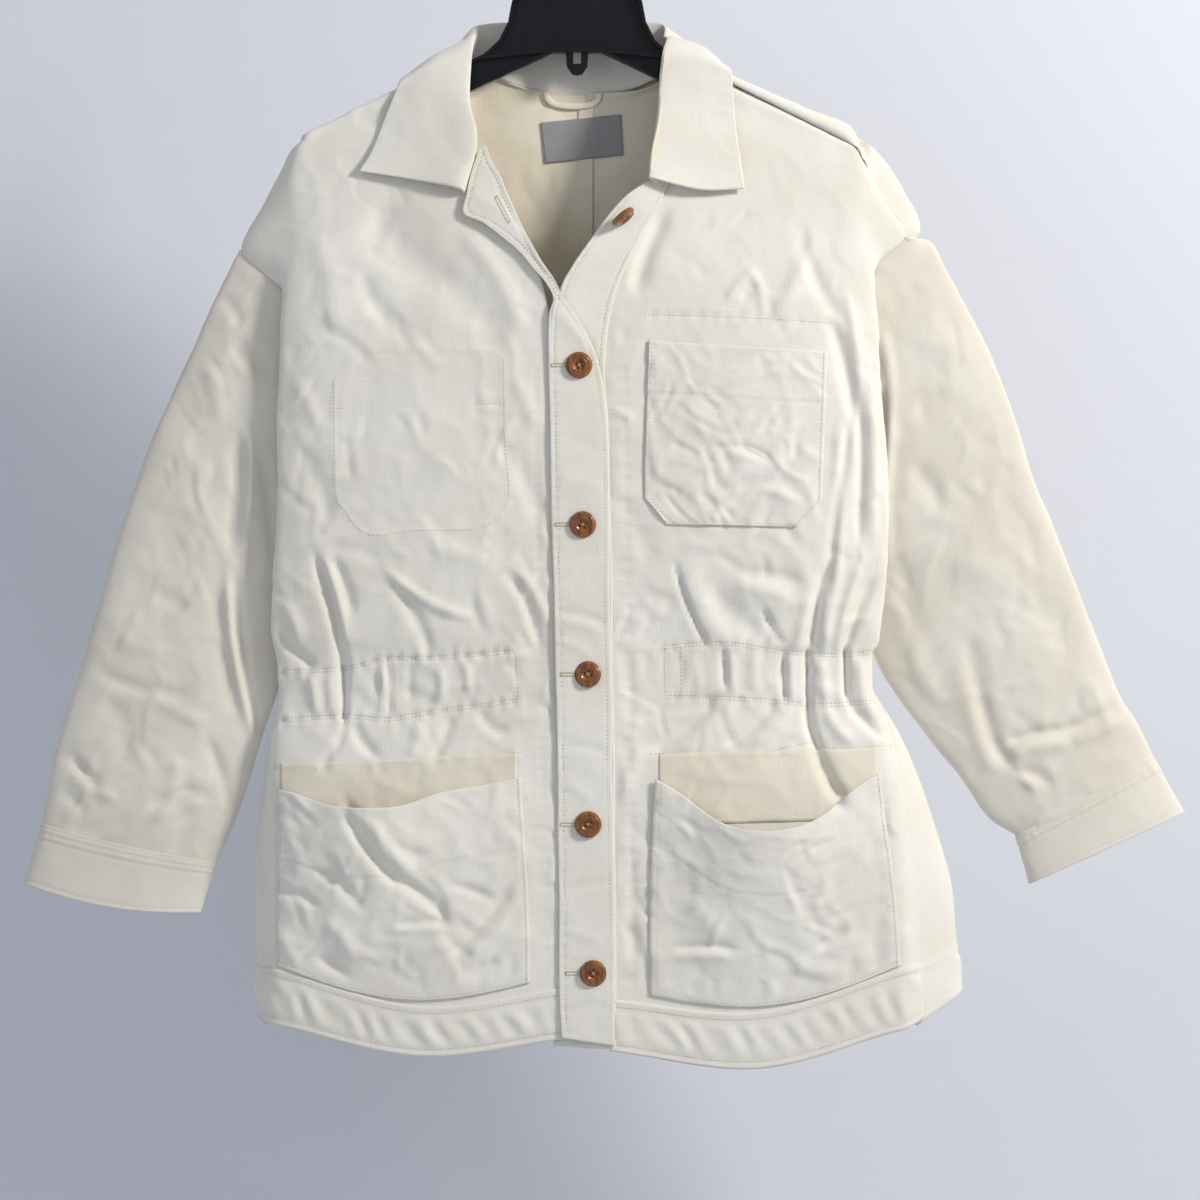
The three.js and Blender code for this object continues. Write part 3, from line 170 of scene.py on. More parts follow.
def creases(rows, x, z):
    # soft ridges and troughs as listed: from one place in the picture to another, bowed, so wide and so
    # high
    relief = np.zeros_like(x)
    for row in rows:
        a, b = np.array(at(row["x0"], row["y0"])), np.array(at(row["x1"], row["y1"]))
        length = max(np.linalg.norm(b - a), 1e-6)
        ux, uz = (b - a) / length
        mx, mz = (a + b) / 2
        s = ((x - mx) * ux + (z - mz) * uz) / (length / 2)
        d = (-(x - mx) * uz + (z - mz) * ux) - row["bow"] * (1 - s * s)
        ends = smooth((1.25 - np.abs(s)) / 0.6)
        width = row["wide"] * (0.65 + 0.35 * ends)
        relief += row["high"] * bell(d, 0, width) * ends
    return relief


# a small crease: its half length, width and height, how it leans and bows, and the softer ridge beside it
small = {"half": (6, 24), "wide": (1.9, 4.4), "high": (0.4, 1.25), "lean": (0.3, 1.5), "bow": (-0.25, 0.25),
         "margin": 12, "beside": 0.45, "besideAt": 1.7, "besideWide": 1.3}


def smallCreases(x, z, box, count, seed):
    # short soft creases of many lengths, leaning the way that the larger ones do
    draw = np.random.default_rng(seed)
    relief = np.zeros_like(x)
    for _ in range(count):
        cx, cz = draw.uniform(box[0], box[2]), draw.uniform(box[1], box[3])
        lean = draw.choice([-1.0, 1.0]) * draw.uniform(*small["lean"])
        half = draw.uniform(*small["half"])
        wide = draw.uniform(*small["wide"])
        high = draw.choice([-1, -1, 1]) * draw.uniform(*small["high"]) * min(1, wide / 3)
        bow = draw.uniform(*small["bow"]) * half
        reach = half + small["margin"]
        near = (np.abs(x - cx) < reach) & (np.abs(z - cz) < reach)
        if not near.any():
            continue
        ux, uz = math.cos(lean), math.sin(lean)
        px, pz = x[near] - cx, z[near] - cz
        s = (px * ux + pz * uz) / half
        d = -px * uz + pz * ux - bow * (1 - s * s)
        ends = smooth((1.2 - np.abs(s)) / 0.8)
        relief[near] += high * bell(d, 0, wide) * ends
        ridge = bell(d, small["besideAt"] * wide, small["besideWide"] * wide)
        relief[near] -= small["beside"] * high * ridge * ends
    return relief


def spread(x, z):
    return x.min(), z.min(), x.max(), z.max()


def follow(points, spacing=3.0):
    # a smooth line through places in the picture, as x and z
    spots = [np.array(at(*p), float) for p in points]
    if len(spots) == 2:
        steps = max(2, int(np.linalg.norm(spots[1] - spots[0]) / spacing))
        return np.array([spots[0] + (spots[1] - spots[0]) * t for t in np.linspace(0, 1, steps + 1)])
    controls = [2 * spots[0] - spots[1], *spots, 2 * spots[-1] - spots[-2]]
    steps = [max(1, int(np.linalg.norm(b - a) / spacing)) for a, b in zip(spots, spots[1:])]
    return line(controls, steps)


def offLine(path, x, z):
    # how far each place is from a line, with its side, and how far along the line its nearest point is
    best = np.full(x.shape, 1e9)
    side = np.zeros_like(x)
    along = np.zeros_like(x)
    run = 0.0
    for a, b in zip(path, path[1:]):
        size = max(float(np.linalg.norm(b - a)), 1e-6)
        ux, uz = (b - a) / size
        t = np.clip((x - a[0]) * ux + (z - a[1]) * uz, 0, size)
        dx, dz = x - a[0] - t * ux, z - a[1] - t * uz
        d = dx * dx + dz * dz
        near = d < best
        best = np.where(near, d, best)
        side = np.where(near, np.sign(dz * ux - dx * uz), side)
        along = np.where(near, run + t, along)
        run += size
    return np.sqrt(best) * np.where(side == 0, 1, side), along


# what a seam does where its own line doesn't say: the pitch, reach and width of its puckers and groove
seamLook = {"pitch": 9, "reach": 5, "wide": 1.1,
            "groove": 1.7, "pucker": 1.5, "fade": 3, "edge": 1.4, "far": 1.6}


def seamRelief(seams, x, z):
    # each sewn line pulls a narrow groove, and puckers the cloth beside it
    relief = np.zeros_like(x)
    for seam in seams:
        path = follow(seam["line"])
        d, s = offLine(path, x, z)
        length = np.linalg.norm(np.diff(path, axis=0), axis=1).sum()
        inside = smooth(s / seamLook["fade"]) * smooth((length - s) / seamLook["fade"])
        groove = bell(d, 0, seam.get("wide", seamLook["wide"]))
        relief -= seamLook["groove"] * seam["groove"] * groove * inside
        puckers = beat(s, 5, 23, seam.get("pitch", seamLook["pitch"]), 3)
        size = seamLook["pucker"] * seam["pucker"] * (0.5 + 0.8 * np.abs(wobble(s, 0 * s, 31, 12)))
        relief += size * puckers * bell(d, 0, seam.get("reach", seamLook["reach"])) * inside
        if "proud" in seam:
            # the doubled cloth on one side of the line stands up a little
            side, high, far = seam["proud"]
            edge = smooth(d * side / seamLook["edge"] + 0.5)
            relief += high * edge * smooth((far - np.abs(d)) / seamLook["far"]) * inside
    return relief


# meshes
def newMesh(name, points, quads, slots=None):
    mesh = bpy.data.meshes.new(name)
    mesh.vertices.add(len(points))
    mesh.vertices.foreach_set("co", (np.asarray(points) / 1000).astype(np.float32).ravel())
    sides = quads.shape[1]
    mesh.loops.add(len(quads) * sides)
    mesh.loops.foreach_set("vertex_index", quads.astype(np.int32).ravel())
    mesh.polygons.add(len(quads))
    mesh.polygons.foreach_set("loop_start", np.arange(0, len(quads) * sides, sides, dtype=np.int32))
    mesh.polygons.foreach_set("loop_total", np.full(len(quads), sides, np.int32))
    mesh.polygons.foreach_set("use_smooth", np.ones(len(quads), bool))
    if slots is not None:
        mesh.polygons.foreach_set("material_index", slots.astype(np.int32))
    mesh.update(calc_edges=True)
    mesh.validate()
    piece = bpy.data.objects.new(name, mesh)
    bpy.context.scene.collection.objects.link(piece)
    return piece


def grainOf(grid):
    across = np.linalg.norm(np.diff(grid, axis=1), axis=-1).mean(0)
    up = np.linalg.norm(np.diff(grid, axis=0), axis=-1).mean(1)
    u = np.concatenate([[0], np.cumsum(across)])
    v = np.concatenate([[0], np.cumsum(up)])
    return np.stack([*np.meshgrid(u, v), np.zeros((len(v), len(u)))], -1)


def clothPiece(name, grid, thick, towards, finish, inside=None, closed=False):
    # a thin closed shell: the grid is its outer face, and its cloth grain is kept in millimetres
    rows, columns = grid.shape[:2]
    out = outward(grid, towards, closed)
    inner = grid - out * thick
    points = np.concatenate([grid.reshape(-1, 3), inner.reshape(-1, 3)])
    count = rows * columns
    spans = columns if closed else columns - 1
    i, j = np.meshgrid(np.arange(rows - 1), np.arange(spans), indexing="ij")
    k = (j + 1) % columns
    corners = [i * columns + j, i * columns + k, (i + 1) * columns + k, (i + 1) * columns + j]
    outer = np.stack(corners, -1).reshape(-1, 4)
    flip = (normals(grid, closed) * out).sum() < 0
    if flip:
        outer = outer[:, ::-1]
    faces = [outer, outer[:, ::-1] + count]
    ring = np.stack([np.arange(spans), (np.arange(spans) + 1) % columns], -1)
    edges = [(ring, False), (ring + (rows - 1) * columns, True)]
    if not closed:
        side = np.stack([np.arange(rows - 1) * columns, (np.arange(rows - 1) + 1) * columns], -1)
        edges += [(side, True), (side + columns - 1, False)]
    for pair, turned in edges:
        quad = np.stack([pair[:, 1], pair[:, 0], pair[:, 0] + count, pair[:, 1] + count], -1)
        faces.append(quad[:, ::-1] if turned != flip else quad)
    sides = [np.zeros(len(f)) for f in faces[2:]]
    slots = np.concatenate([np.zeros(len(outer)), np.ones(len(outer)), *sides])
    piece = newMesh(name, points, np.concatenate(faces), slots if inside else None)
    piece.data.materials.append(finish)
    if inside:
        piece.data.materials.append(inside)
    grain = grainOf(grid).reshape(-1, 3)
    spot = piece.data.attributes.new("grain", "FLOAT_VECTOR", "POINT")
    spot.data.foreach_set("vector", np.concatenate([grain, grain]).astype(np.float32).ravel())
    return piece


def sew(piece, node=None):
    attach(piece, "root")
    if node:
        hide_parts(node)


def carry(piece, slot, *nodes):
    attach(piece, "root")
    if nodes:
        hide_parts(*nodes)


# materials
def linear(colour):
    parts = [int(colour[k:k + 2], 16) / 255 for k in (0, 2, 4)]
    return [p / 12.92 if p <= 0.04045 else ((p + 0.055) / 1.055) ** 2.4 for p in parts] + [1.0]


def add(tree, kind, inputs=None, **settings):
    # one node, with its settings, and its inputs as values or as sockets to join
    node = tree.nodes.new(kind)
    for name, value in settings.items():
        setattr(node, name, value)
    for name, value in (inputs or {}).items():
        if isinstance(value, bpy.types.NodeSocket):
            tree.links.new(value, node.inputs[name])
        else:
            node.inputs[name].default_value = value
    return node


def newMaterial(name):
    material = bpy.data.materials.new(name)
    material.use_nodes = True
    tree = material.node_tree
    tree.nodes.clear()
    return material, tree


def finishWith(tree, shader):
    add(tree, "ShaderNodeOutputMaterial", {"Surface": shader.outputs[0]})


def principled(tree, colour, roughness, more=None):
    given = {"Base Color": colour, "Roughness": roughness, **(more or {})}
    return add(tree, "ShaderNodeBsdfPrincipled", given)


def placeIn(tree):
    return add(tree, "ShaderNodeTexCoord").outputs["Object"]


def grainIn(tree):
    return add(tree, "ShaderNodeAttribute", attribute_name="grain").outputs["Vector"]


def mapped(tree, vector, scale, turn=0):
    given = {"Vector": vector, "Rotation": (0, 0, math.radians(turn)), "Scale": scale}
    return add(tree, "ShaderNodeMapping", given).outputs[0]


def noise(tree, vector, scale, detail, more=None, **settings):
    given = {"Vector": vector, "Scale": scale, "Detail": detail, **(more or {})}
    return add(tree, "ShaderNodeTexNoise", given, **settings).outputs["Fac"]


def share(tree, value, low, high, least=0.0, most=1.0):
    # how far a value is on its way from low to high, as a number from least to most
    given = {"Value": value, "From Min": low, "From Max": high, "To Min": least, "To Max": most}
    return add(tree, "ShaderNodeMapRange", given).outputs[0]


def blend(tree, factor, first, second):
    given = {"Factor": factor, "A": first, "B": second}
    return add(tree, "ShaderNodeMix", given, data_type="RGBA").outputs["Result"]


def maths(tree, operation, *values):
    return add(tree, "ShaderNodeMath", dict(enumerate(values)), operation=operation).outputs[0]


def bumped(tree, height, strength, distance, more=None, **settings):
    given = {"Height": height, "Strength": strength, "Distance": distance, **(more or {})}
    return add(tree, "ShaderNodeBump", given, **settings).outputs[0]


def clothMaterial(name, look):
    # washed twill: yarns, slubs, a faint mottle and a soft nap
    material, tree = newMaterial(name)
    grain = grainIn(tree)
    place = placeIn(tree)
    mottle = share(tree, noise(tree, place, 14.0, 3.0, {"Roughness": 0.55}), 0.32, 0.68)
    tint = blend(tree, mottle, linear(look["light"]), linear(look["dark"]))
    # the real yarns are too fine to show here, so the twill line is drawn at 1.1 mm
    turned = mapped(tree, grain, (1 / look["twill"],) * 3, look["turn"])
    waves = {"Vector": turned, "Scale": 0.32, "Distortion": 1.2, "Detail": 2.0, "Detail Scale": 1.5}
    twill = add(tree, "ShaderNodeTexWave", waves, wave_type="BANDS").outputs["Fac"]
    slubs = noise(tree, mapped(tree, grain, look["slubs"]), 1.0, 2.0)
    weft = noise(tree, mapped(tree, grain, look["weft"]), 1.0, 2.0)
    yarns = maths(tree, "ADD", slubs, weft)
    lines = maths(tree, "MULTIPLY_ADD", twill, look["twillShare"], yarns)
    colour = blend(tree, share(tree, lines, 0.85, 1.6, 0.0, look["yarn"]), tint, linear(look["yarnDark"]))
    # sharp little wrinkles that washing leaves, in patches
    sharp = {"Roughness": 0.5, "Distortion": 1.1}
    folds = noise(tree, place, 17.0, 4.0, sharp, noise_type="RIDGED_MULTIFRACTAL")
    patches = share(tree, noise(tree, place, 5.0, 1.0), 0.38, 0.66, 0.12)
    wrinkles = maths(tree, "MULTIPLY", folds, patches)
    creased = bumped(tree, wrinkles, look["wrinkles"], look["wrinkleHeight"], invert=True)
    surface = bumped(tree, lines, look["bump"], look["yarnHeight"], {"Normal": creased})
    finishWith(tree, principled(tree, colour, 0.92, {
        "Sheen Weight": 0.25, "Sheen Roughness": 0.5, "Specular IOR Level": 0.2, "Normal": surface}))
    return material


bodyLook = {"light": "eae8e0", "dark": "e4e0d4", "yarnDark": "c9c1aa", "yarn": 0.2,
            "twill": 1.1, "turn": 62, "twillShare": 0.35, "slubs": (0.9, 0.06, 1), "weft": (0.05, 0.8, 1),
            "bump": 0.35, "yarnHeight": 0.0004, "wrinkles": 0.85, "wrinkleHeight": 0.0014}
# the cream of the fronts, which gives the eye its clean bright cloth
bodyTwill = clothMaterial("washedTwillCream", bodyLook)
# painted shade: the sleeves and cuffs get a darker, more oatmeal copy of the fronts' cream, for the little
# more shade they hang in
shadedSleeveTwill = clothMaterial("washedTwillPaintedShade", {**bodyLook, "light": "e4e0d5", "dark": "dbd5c7"})
# the wrong side of the cloth, warmer in the pockets and at the neck
insideTwill = clothMaterial("twillWrongSide", {**bodyLook, "light": "ebe4d2", "dark": "e2d9c3"})
# the warm shade that shows above a pocket's open mouth
liningTwill = clothMaterial("pocketLiningTwill", {**bodyLook, "light": "e8e2d2", "dark": "dcd2be"})


def threadMaterial():
    # tonal cotton thread, darker than the cloth so that the rows read: partly the thread's own tone, partly
    # painted shade of the grooves the stitches lie in
    material, tree = newMaterial("cottonThread")
    fuzz = noise(tree, placeIn(tree), 900.0, 1.0)
    tint = blend(tree, fuzz, linear("cfc5aa"), linear("b5a988"))
    finishWith(tree, principled(tree, tint, 0.8, {"Sheen Weight": 0.2}))
    return material


def hornMaterial():
    # polished horn: amber streaks in brown
    material, tree = newMaterial("amberHorn")
    streaks = noise(tree, mapped(tree, placeIn(tree), (260, 90, 60)), 1.0, 4.0, {"Distortion": 0.8})
    tint = blend(tree, share(tree, streaks, 0.35, 0.65), linear("96591d"), linear("5c3610"))
    finishWith(tree, principled(tree, tint, 0.28, {"Coat Weight": 0.35, "Coat Roughness": 0.15}))
    return material


def labelMaterial():
    # grey woven tape: fine ribs across, left blank
    material, tree = newMaterial("greyWovenTape")
    waves = {"Vector": grainIn(tree), "Scale": 0.5, "Distortion": 0.6, "Detail": 1.0}
    ribs = add(tree, "ShaderNodeTexWave", waves, wave_type="BANDS", bands_direction="Y").outputs["Fac"]
    tint = blend(tree, ribs, linear("9b9a9a"), linear("8b8b8d"))
    surface = bumped(tree, ribs, 0.3, 0.0003)
    finishWith(tree, principled(tree, tint, 0.6, {"Sheen Weight": 0.3, "Normal": surface}))
    return material


def hangerMaterial():
    # moulded plastic: near black with a blue cast, a fine spark texture and faint rubs
    material, tree = newMaterial("mouldedPlastic")
    place = placeIn(tree)
    spark = noise(tree, place, 2200.0, 2.0)
    rubs = noise(tree, place, 45.0, 5.0, {"Roughness": 0.7})
    tint = blend(tree, rubs, linear("06070b"), linear("0d1017"))
    rough = share(tree, rubs, 0.3, 0.7, 0.28, 0.46)
    surface = bumped(tree, spark, 0.12, 0.0003)
    finishWith(tree, principled(tree, tint, rough, {"Specular IOR Level": 0.35, "Normal": surface}))
    return material


thread = threadMaterial()
horn = hornMaterial()
labelTape = labelMaterial()
hangerPlastic = hangerMaterial()
print("materials made")

# sections of the pieces, as the part has them
frontColumns = ["level", "inX", "inZ", "inY", "midY", "sag",
                "ridgeX", "ridgeZ", "ridgeY", "endX", "endZ", "endY"]
rightFrontRows = table(frontColumns, [
    ["band", -12, -902, -36, -36, 19, -235, -892, -24, -243, -889, -12],
    ["hem", -12, -862, -37, -37, 22, -235, -848, -25, -242, -848, -13],
    ["low", -12, -797, -37, -40, 11, -235, -792, -26, -243, -791, -13],
    ["pocket", -13, -743, -37, -41, 6, -236, -740, -26, -243, -739, -12],
    ["mouth", -13, -701, -37, -38, 2, -234, -695, -24, -239, -697, -10],
    ["flare", -14, -670, -36, -34, 0, -233, -668, -21, -235, -671, -7],
    ["underCord", -15, -649, -35, -31, 0, -229, -652, -18, -226, -652, -4],
    ["cord", -15, -631, -35, -31, 0, -229, -632, -17, -222, -632, -3],
    ["overCord", -16, -612, -35, -32, 0, -231, -614, -18, -219, -614, -3],
    ["blouse", -17, -591, -35, -35, 0, -235, -591, -20, -218, -591, -3],
    ["rib", -18, -558, -36, -37, 0, -234, -558, -21, -216, -558, -3],
    ["underarm", -20, -524, -36, -38, 0, -232, -524, -22, -213, -524, -1],
    ["armLow", -21, -474, -37, -38, 0, -230, -474, -22, -203, -474, -9],
    ["armMid", -22, -431, -37, -38, 0, -231, -431, -22, -199, -431, -10],
    ["armHigh", -22, -390, -38, -37, 0, -229, -389, -21, -203, -389, -10],
    ["chest", -21, -349, -37.5, -35, 0, -228, -354, -20, -213, -354, -9],
    ["lapelLow", -30, -313, -36.5, -32, 0, -226, -327, -18, -226, -328, -9],
    ["lapelMid", -42, -293, -34.5, -29, 0, -226, -307, -17, -243, -313, -7],
    ["point", -51, -275, -31, -26, 0, -225, -286, -15, -259, -296, 0],
    ["dropLow", -61, -253, -27.5, -22, 0, -223, -258, -13, -242, -260, 0],
    ["dropMid", -77, -223, -21.5, -17, 0, -220, -232, -11, -228, -233, 0],
    ["dropHigh", -89, -192, -16, -14, 0, -216, -217, -10, -221, -219, 0],
    ["nearTop", -90, -166, -9.5, -9.5, 0, -211, -211, -9, -214, -213, 0],
    ["brow", -90, -151.4, -8.8, -8.8, -2, -209.5, -207, -8.6, -213, -210, 0],
    ["top", -90, -151, 0, 0, -2, -209, -206, 0, -212, -207, 0],
])
leftFrontRows = table(frontColumns, [
    ["band", 31, -912, -35, -36, 22, 253, -895, -33, 266, -887, -27],
    ["hem", 31, -872, -35, -37, 22, 253, -847, -34, 263, -845, -27],
    ["low", 31, -801, -35, -40, 11, 250, -795, -34, 261, -794, -26],
    ["pocket", 30, -747, -35, -41, 6, 246, -744, -33, 257, -742, -24],
    ["mouth", 30, -703, -35, -38, 2, 239, -698, -31, 250, -698, -21],
    ["flare", 30, -671, -34, -34, 0, 233, -671, -28, 244, -673, -16],
    ["underCord", 29, -648, -34, -31, 0, 227, -648, -23, 235, -648, -9],
    ["cord", 28, -630, -34, -31, 0, 226, -630, -20, 224, -630, -4],
    ["overCord", 28, -610, -34, -32, 0, 229, -610, -19, 221, -610, -3],
    ["blouse", 28, -589, -34, -35, 0, 233, -589, -20, 218, -589, -3],
    ["rib", 28, -558, -34, -37, 0, 237, -558, -21, 214, -558, -3],
    ["underarm", 27, -524, -34, -38, 0, 239, -524, -22, 212, -524, -1],
    ["armLow", 26, -474, -34, -38, 0, 239, -474, -22, 202, -474, -9],
    ["armMid", 25, -431, -34, -38, 0, 236, -431, -22, 199, -431, -10],
    ["armHigh", 22, -390, -34, -37, 0, 233, -389, -21, 203, -389, -10],
    ["chest", 26, -349, -35, -35, 0, 232, -354, -20, 216, -354, -10],
    ["lapelLow", 33, -323, -34, -32, 0, 229, -327, -18, 224, -329, -10],
    ["lapelMid", 42, -303, -33, -29, 0, 228, -307, -17, 233, -306, -10],
    ["point", 52, -283, -31, -26, 0, 226, -286, -15, 253, -285, -9],
    ["dropLow", 64, -263, -29, -22, 0, 226, -261, -14, 242, -266, -9.5],
    ["dropMid", 76, -231, -23, -18, 0, 223, -243, -13, 232, -249, -9.5],
    ["dropHigh", 85, -192, -17, -14, 0, 220, -231, -11.5, 224, -233, -9.5],
    ["nearTop", 92, -169, -11, -11, 0, 218, -224, -10.5, 220, -227, -9.5],
    ["top", 93, -156, -9.5, -9.5, 0, 215, -218.6, -9.5, 217, -220.6, -9.5],
    ["turned", 94, -151.5, -6, -5, 0, 216, -214.5, -5, 217.5, -217, -5],
])
backColumns = ["level", "endX", "endZ", "endY", "sideX", "sideZ", "sideY", "neckX", "neckZ", "neckY", "dip",
               "centreZ", "centreY", "turnX", "turnZ", "turnY"]
rightBackRows = table(backColumns, [
    ["band", -243, -889, None, -246, -884, -1, -113, -897, 25, 0, -889, 24],
    ["hem", -242, -848, None, -248, -845, 0, -113, -855, 26, 0, -847, 24],
    ["low", -243, -791, None, -248, -792, 1, -113, -801, 28, 0, -797, 25],
    ["pocket", -243, -739, None, -245, -743, 2, -113, -747, 29, 0, -745, 26],
    ["mouth", -239, -697, None, -240, -697, 2, -113, -701, 26, 0, -701, 24],
    ["flare", -235, -671, None, -235, -671, 3, -113, -671, 22, 0, -670, 22],
    ["underCord", -226, -652, None, -228, -652, 4, -113, -648, 19, 0, -648, 20],
    ["cord", -222, -632, None, -224, -632, 5, -113, -631, 18, 0, -631, 20],
    ["overCord", -219, -614, None, -221, -614, 5, -113, -610, 19, 0, -610, 21],
    ["blouse", -218, -591, None, -219, -591, 6, -113, -589, 23, 0, -589, 23],
    ["rib", -216, -558, None, -216, -558, 6, -113, -558, 26, 0, -558, 25],
    ["underarm", -213, -524, None, -213, -524, 8, -113, -524, 27, 0, -524, 26],
    ["armLow", -207, -474, 9, -203, -474, 15, -113, -474, 27, 0, -474, 26],
    ["armMid", -211, -431, 11, -206, -431, 17, -113, -431, 27, 0, -431, 26],
    ["armHigh", -218, -389, 12, -212, -389, 17, -109, -390, 26, 0, -390, 26],
    ["chest", -227, -354, 11, -221, -354, 16, -105, -352, 25, 0, -350, 26],
    ["lapelLow", -237, -328, 9, -230, -328, 14, -102, -322, 24, 0, -316, 26],
    ["lapelMid", -248, -313, 6, -240, -313, 11, -98, -300, 23, 0, -289, 26],
    ["point", -259, -296, None, -253, -296, 7, -95, -278, 21, 0, -266, 26],
    ["dropLow", -242, -260, None, -236, -259, 8, -94, -249, 19, 0, -246, 26],
    ["dropMid", -228, -233, None, -223, -233, 9, -92, -216, 16, 0, -223, 26],
    ["dropHigh", -221, -219, None, -216, -219, 9, -90, -190, 13, 0, -200, 26],
    ["nearTop", -214, -213, None, -209, -209, 9.5, -89, -162, 11, 3, -184, 26],
    ["brow", -213, -210, None, -207, -205.6, 8.6, -89, -150.6, 8.8, 5, -177, 25.5],
    ["top", -212, -207, None, -204, -203.6, 0.6, -89, -150.2, 0.6, 8, -172, 25],
])
leftBackRows = table(backColumns, [
    ["band", 266, -887, None, 297, -866, -7, 110, -897, 25, 0, -889, 24],
    ["hem", 263, -845, None, 293, -831, -6, 110, -855, 26, 0, -847, 24],
    ["low", 261, -794, None, 289, -785, -4, 110, -801, 28, 0, -797, 25],
    ["pocket", 257, -742, None, 276, -739, -3, 110, -747, 29, 0, -745, 26],
    ["mouth", 250, -698, None, 263, -701, -2, 110, -701, 26, 0, -701, 24],
    ["flare", 244, -673, None, 250, -671, -1, 110, -671, 22, 0, -670, 22],
    ["underCord", 235, -648, None, 236, -648, 1, 110, -648, 19, 0, -648, 20],
    ["cord", 224, -630, None, 226, -631, 4, 110, -631, 18, 0, -631, 20],
    ["overCord", 221, -610, None, 223, -610, 5, 110, -610, 19, 0, -610, 21],
    ["blouse", 218, -589, None, 219, -589, 6, 110, -589, 23, 0, -589, 23],
    ["rib", 214, -558, None, 214, -558, 6, 110, -558, 26, 0, -558, 25],
    ["underarm", 212, -524, None, 212, -524, 8, 110, -524, 27, 0, -524, 26],
    ["armLow", 206, -474, 9, 202, -474, 15, 110, -474, 27, 0, -474, 26],
    ["armMid", 210, -431, 11, 205, -431, 17, 110, -431, 27, 0, -431, 26],
    ["armHigh", 217, -389, 12, 211, -389, 17, 109, -390, 26, 0, -390, 26],
    ["chest", 228, -354, 11, 222, -354, 16, 106, -352, 25, 0, -350, 26],
    ["lapelLow", 241, -326, 8, 234, -326, 14, 104, -322, 24, 0, -316, 26],
    ["lapelMid", 255, -303, 1, 251, -303, 9, 101, -300, 23, 0, -289, 26],
    ["point", 253, -285, None, 265, -278, 0, 97, -278, 21, 0, -266, 26],
    ["dropLow", 242, -266, None, 253, -251, 0, 95, -249, 19, 0, -246, 26],
    ["dropMid", 232, -249, None, 237, -226, 0, 93, -216, 16, 0, -223, 26],
    ["dropHigh", 224.6, -232.7, -9.5, 225.5, -214, 4, 92, -187, 13, 2, -203, 26],
    ["rear", 223.5, -229.3, -9.5, 214, -210, 9.5, 92, -167, 11, 3, -192, 26],
    ["rearBrow", 222.4, -227.3, -9.5, 210, -203, 8.8, 100, -153.6, 8.8, 4, -186, 26, 97, -154.8, 13.5],
    ["crest", 220.7, -225.3, -9.5, 212, -201, 0, 99, -152, 0, 5, -181, 26, 94.5, -151.8, 11],
    ["frontBrow", 219.6, -222.8, -9.5, 208, -203.5, -8.6, 97, -152.2, -8.8, 6, -176.5, 25.5, 92.5, -150.6,
     9.3],
    ["top", 218.4, -218.0, -9.6, 204, -210.4, -9.5, 94.5, -155.6, -9.5, 6, -172, 25, 90, -149.8, 8],
])
centreBackX = 7
seamGap = 0.2
front = {"kneeInset": 16, "kneeShare": 0.45, "steps": [44, 38, 8, 12], "spacing": 2.7}
# how far an in edge runs on under its placket, and below where the right one does
tuck = {"right": (7, 0), "left": (-6, 1.9), "below": 345, "within": 40}
back = {"lap": 7, "lapIn": 2.2, "kneeShare": 0.3, "kneeDepth": 0.75, "hold": 0.93, "turn": 0.14,
        "turnRise": 0.6, "turnDrop": 0.02, "curveDepth": 0.22, "steps": [6, 10, 34, 3, 6, 12, 16],
        "spacing": 3.75}


def frontRow(row, other, side):
    start = vec(row["inX"], row["inY"], row["inZ"])
    share = 1 if side == "left" else smooth((-row["inZ"] - tuck["below"]) / tuck["within"])
    start = start + vec(tuck[side][0], tuck[side][1], 0) * share
    ridge = vec(row["ridgeX"], row["ridgeY"], row["ridgeZ"])
    middle = vec((start[0] + ridge[0]) / 2, row["midY"], (start[2] + ridge[2]) / 2 - row["sag"])
    inset = math.copysign(front["kneeInset"], start[0] - ridge[0])
    kneeZ = ridge[2] + (middle[2] - ridge[2]) * inset / (middle[0] - ridge[0])
    kneeY = row["midY"] * front["kneeShare"] + row["ridgeY"] * (1 - front["kneeShare"])
    knee = vec(ridge[0] + inset, kneeY, kneeZ)
    end = vec(row["endX"], row["endY"], row["endZ"])
    onSeam = other is not None and other["endY"] is None
    after = vec(other["sideX"], other["sideY"], other["sideZ"]) if onSeam else 2 * end - ridge
    return line([2 * start - middle, start, middle, knee, ridge, end, after], front["steps"])


def seamAt(rows, z):
    ends = np.array([[r["endX"], r["endY"], r["endZ"]] for r in rows], float)
    return np.stack([np.interp(z, ends[:, 2], ends[:, k]) for k in range(3)])


